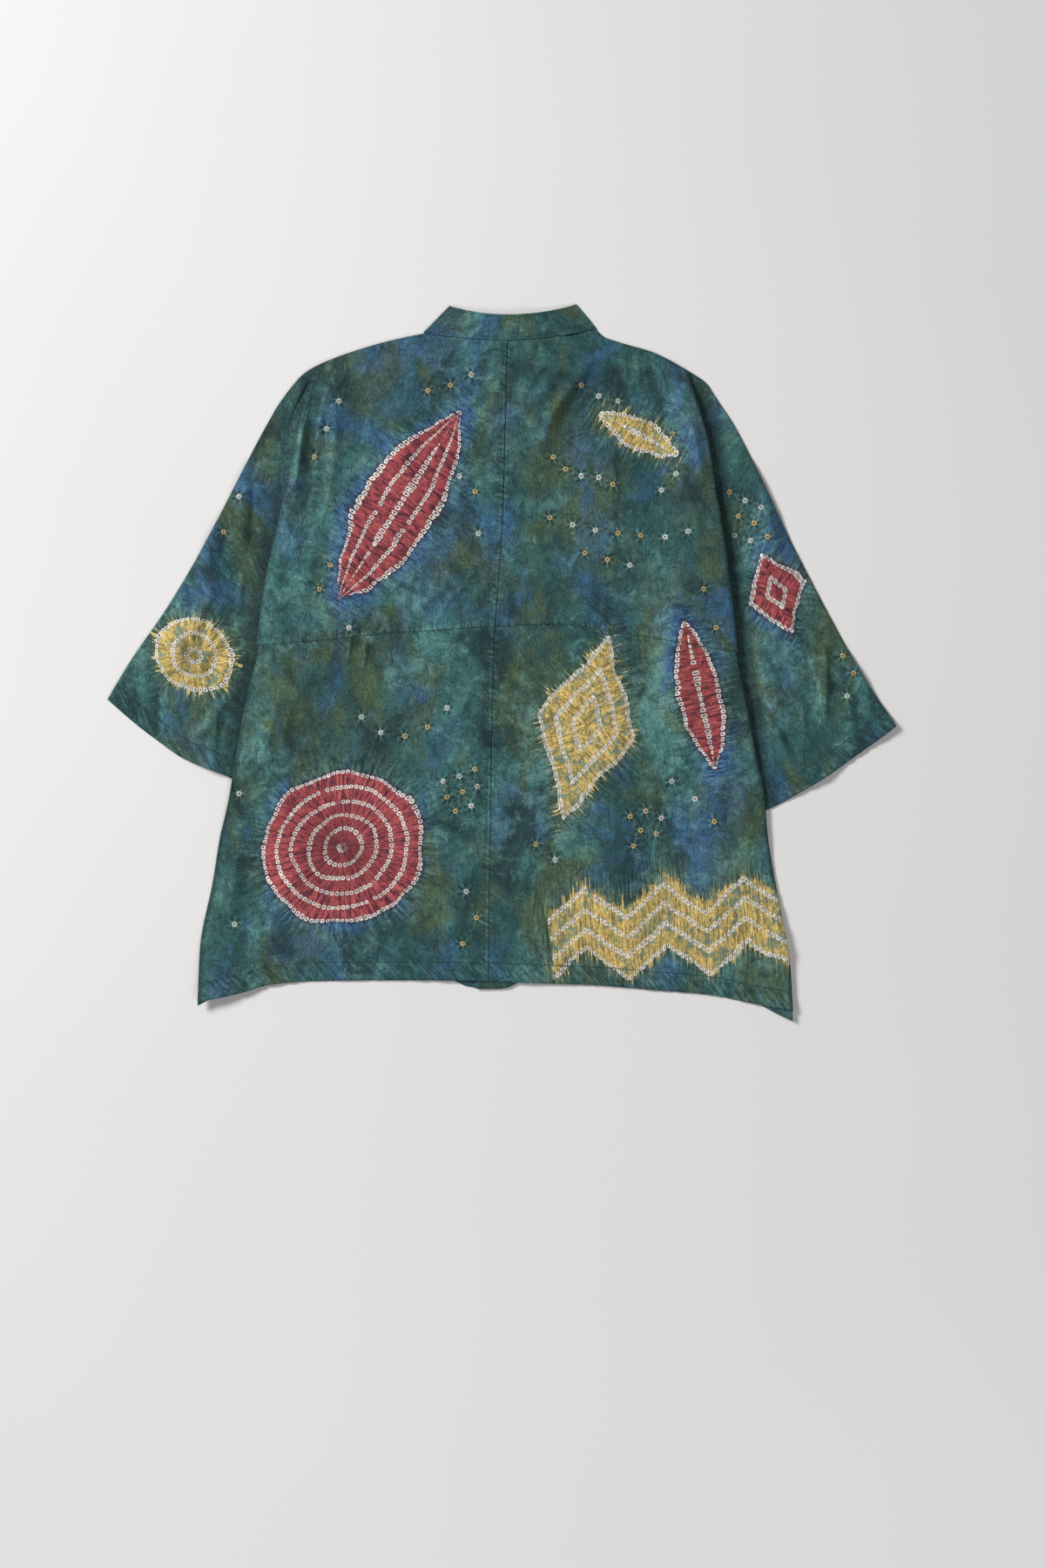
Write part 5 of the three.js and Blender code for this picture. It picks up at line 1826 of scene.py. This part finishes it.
class ShirtColours(bpy.types.PropertyGroup):
    """Colours of the dyes, the undyed silk, the thread, the buttons and the floor"""

    ground: colour_property("Ground", "Main dye of the ground", 46, 88, 89)
    # deep is also the painted shade beside the side folds, where the relief lies low and on pucker ticks
    deep: colour_property("Deep", "Darkest dye of the ground", 28, 53, 56)
    teal: colour_property("Teal", "Lighter clouds of the ground", 80, 134, 132)
    blue: colour_property("Blue", "Blue clouds of the ground", 56, 98, 140)
    bright_blue: colour_property("Bright blue", "Blue beside the red figures", 52, 90, 150)
    olive: colour_property("Olive", "Olive clouds of the ground", 80, 98, 66)
    # light is also the painted highlight along the fine crease lines and on pucker ticks
    light: colour_property("Light", "Fine lines and pale clouds in the ground", 124, 172, 164)
    red: colour_property("Red", "Red figures", 174, 80, 84)
    red_dark: colour_property("Dark red", "Red down in the gathers", 86, 46, 66)
    red_light: colour_property("Light red", "Red on the crests", 206, 116, 114)
    orange: colour_property("Orange", "Where red runs over ochre", 190, 98, 62)
    plum: colour_property("Plum", "Edge of the red and centre of the rings", 62, 44, 74)
    ochre: colour_property("Ochre", "Ochre figures", 227, 194, 113)
    ochre_light: colour_property("Light ochre", "Ochre on the crests", 245, 221, 160)
    ochre_dark: colour_property("Dark ochre", "Ochre down in the gathers", 122, 124, 80)
    undyed: colour_property("Undyed", "Rings of silk without dye", 248, 245, 238)
    thread: colour_property("Thread", "Sewing thread", 44, 70, 74)
    button: colour_property("Buttons", "Dyed shell", 58, 74, 80)
    floor: colour_property("Floor", "Pale board", 226, 225, 224)


SHEETS = {}


def settings():
    """The sizes and the colours of the scene."""
    return bpy.context.scene.shirt_sizes, bpy.context.scene.shirt_colours


def dyed(name):
    """The dyed silk, made once for all the pieces."""
    return bpy.data.materials.get(name) or silk(name, settings()[1])


class SHIRT_OT_fronts(bpy.types.Operator):
    """Makes the two fronts, which lie underneath and lap at the centre"""

    bl_idname = "shirt.fronts"
    bl_label = "Fronts"

    def execute(self, context):
        sizes = settings()[0]
        for side, layer in ((LEFT, "outer"), (RIGHT, "inner")):
            sheet = front(side, layer, sizes)
            piece = cloth_piece(sheet, side, sizes, dyed("hand_dyed_silk"), False)
        return {"FINISHED"}


class SHIRT_OT_backs(bpy.types.Operator):
    """Makes the upper and the lower back, with the folded sides and the sleeves' backs"""

    bl_idname = "shirt.backs"
    bl_label = "Back"

    def execute(self, context):
        sizes = settings()[0]
        for side in (LEFT, RIGHT):
            for sheet in (upper_back(side, sizes), lower_back(side, sizes)):
                piece = cloth_piece(sheet, side, sizes, dyed("hand_dyed_silk"), True)
                SHEETS[sheet.name] = sheet
        return {"FINISHED"}


class SHIRT_OT_collar(bpy.types.Operator):
    """Makes the stand collar, folded flat"""

    bl_idname = "shirt.collar"
    bl_label = "Collar"

    def execute(self, context):
        sizes = settings()[0]
        sheet = collar_sheet(sizes)
        piece = cloth_piece(sheet, None, sizes, dyed("hand_dyed_silk"), True)
        SHEETS[sheet.name] = sheet
        return {"FINISHED"}


class SHIRT_OT_stitching(bpy.types.Operator):
    """Sews the hem, the cuffs, the collar and the centre back seam"""

    bl_idname = "shirt.stitching"
    bl_label = "Stitching"

    def execute(self, context):
        sizes, colours = settings()
        material = thread_material("sewing_thread", colours.thread)
        lengths = (sizes.stitch_pitch, sizes.stitch_length, sizes.thread)
        pitch, length, radius = (value / MM for value in lengths)
        rise = sizes.cloth / MM / 2
        band = sizes.hem_width / MM
        groups = {"hem_stitches": [], "cuff_stitches": [], "collar_stitches": []}
        groups["seam_stitches"] = [
            line_beside(SHEETS[name], ALLOWANCE, 8) for name in ("back_upper_left", "back_lower_left")
        ]
        for side in (LEFT, RIGHT):
            sheet = SHEETS[f"back_lower_{side.name}"]
            away = distance_along(sheet.point, 0, backwards=True)
            groups["hem_stitches"].append(line_across(sheet, away, band))
            sheet = SHEETS[f"back_upper_{side.name}"]
            part = sheet.point[sheet.cuff_rows, sheet.cuff_columns]
            away = distance_along(part, 0, backwards=True)
            groups["cuff_stitches"].append(
                line_across(sheet, away, band, sheet.cuff_rows, sheet.cuff_columns)
            )
        sheet = SHEETS["collar_stand"]
        away = distance_along(sheet.point, 0, backwards=True)
        shown = sheet.free[0] > 0.9
        for distance in (3, float(away[0].min()) - 2.6):
            groups["collar_stitches"].append(line_across(sheet, away, distance)[shown])
        for name, lines in groups.items():
            made = [stitches(line, pitch, length, radius, rise) for line in lines]
            vertices, faces = join_arrays(made)
            piece = add_piece(name, vertices, outward(vertices, faces), material)
            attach(piece, "root")
        return {"FINISHED"}


class SHIRT_OT_buttons(bpy.types.Operator):
    """Makes the seven buttons under the lapped fronts"""

    bl_idname = "shirt.buttons"
    bl_label = "Buttons"

    def execute(self, context):
        material = shell_material("dyed_shell", settings()[1].button)
        for i in range(BUTTON_ROW.count):
            vertices, faces = button_surface(BUTTON_ROW.first - i * BUTTON_ROW.spacing)
            piece = add_piece(f"shell_button_{i + 1}", vertices, faces, material)
            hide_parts(f"button_{i + 1}")
            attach(piece, "root")
        return {"FINISHED"}


class SHIRT_OT_stage(bpy.types.Operator):
    """Lays the floor and sets the lights and the camera"""

    bl_idname = "shirt.stage"
    bl_label = "Stage"

    def execute(self, context):
        scene = context.scene
        material = floor_material("pale_board", settings()[1].floor)
        corners = np.array([[-1, -1], [1, -1], [1, 1], [-1, 1]]) * FLOOR_HALF
        corners = np.pad(corners.astype(float), [(0, 0), (0, 1)], constant_values=-FLOOR_BELOW)
        floor = add_piece("floor", corners, [np.array([[0, 1, 2, 3]])], material)

        world = bpy.data.worlds.new("soft_room")
        world.use_nodes = True
        background = world.node_tree.nodes["Background"]
        background.inputs["Color"].default_value = ROOM_COLOUR
        background.inputs["Strength"].default_value = ROOM_STRENGTH
        scene.world = world
        for name, place, size, power, tint in LIGHTS:
            data = bpy.data.lights.new(name, "AREA")
            data.shape = "SQUARE"
            data.size = size
            data.energy = power
            data.color = tint
            light = bpy.data.objects.new(name, data)
            light.location = place
            x, y, z = np.array(LIT_PLACE) - np.array(place)
            light.rotation_euler = (math.atan2(math.hypot(x, y), -z), 0, math.atan2(y, x) - math.pi / 2)
            scene.collection.objects.link(light)

        camera_data = bpy.data.cameras.new("camera")
        camera_data.sensor_fit = "VERTICAL"
        camera_data.sensor_height = CAMERA_SENSOR
        camera_data.lens = CAMERA_LENS
        camera = bpy.data.objects.new("camera", camera_data)
        camera.location = CAMERA_PLACE
        scene.collection.objects.link(camera)
        scene.camera = camera
        scene.view_settings.view_transform = "Standard"
        scene.view_settings.look = "None"
        return {"FINISHED"}


OPERATORS = (
    SHIRT_OT_fronts,
    SHIRT_OT_backs,
    SHIRT_OT_collar,
    SHIRT_OT_stitching,
    SHIRT_OT_buttons,
    SHIRT_OT_stage,
)


class SHIRT_PT_panel(bpy.types.Panel):
    """The shirt's sizes and colours, and the operators that make it"""

    bl_idname = "SHIRT_PT_panel"
    bl_label = "Silk shirt"
    bl_space_type = "VIEW_3D"
    bl_region_type = "UI"
    bl_category = "Silk shirt"

    def draw(self, context):
        """A row for every size and colour, and a button for every operator."""
        for group in (context.scene.shirt_sizes, context.scene.shirt_colours):
            column = self.layout.column(align=True)
            for key in group.bl_rna.properties.keys():
                if key not in ("rna_type", "name"):
                    column.prop(group, key)
        for operator in OPERATORS:
            self.layout.operator(operator.bl_idname)


CLASSES = (ShirtSizes, ShirtColours, *OPERATORS, SHIRT_PT_panel)


def register():
    """Makes the classes and the scene's two groups of settings known to Blender."""
    for kind in CLASSES:
        bpy.utils.register_class(kind)
    bpy.types.Scene.shirt_sizes = PointerProperty(type=ShirtSizes)
    bpy.types.Scene.shirt_colours = PointerProperty(type=ShirtColours)


def unregister():
    """Undoes register."""
    del bpy.types.Scene.shirt_colours
    del bpy.types.Scene.shirt_sizes
    for kind in reversed(CLASSES):
        bpy.utils.unregister_class(kind)


def main():
    """Registers the add-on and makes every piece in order."""
    register()
    for operator in OPERATORS:
        getattr(bpy.ops.shirt, operator.bl_idname.split(".")[1])()


if __name__ == "__main__":
    main()
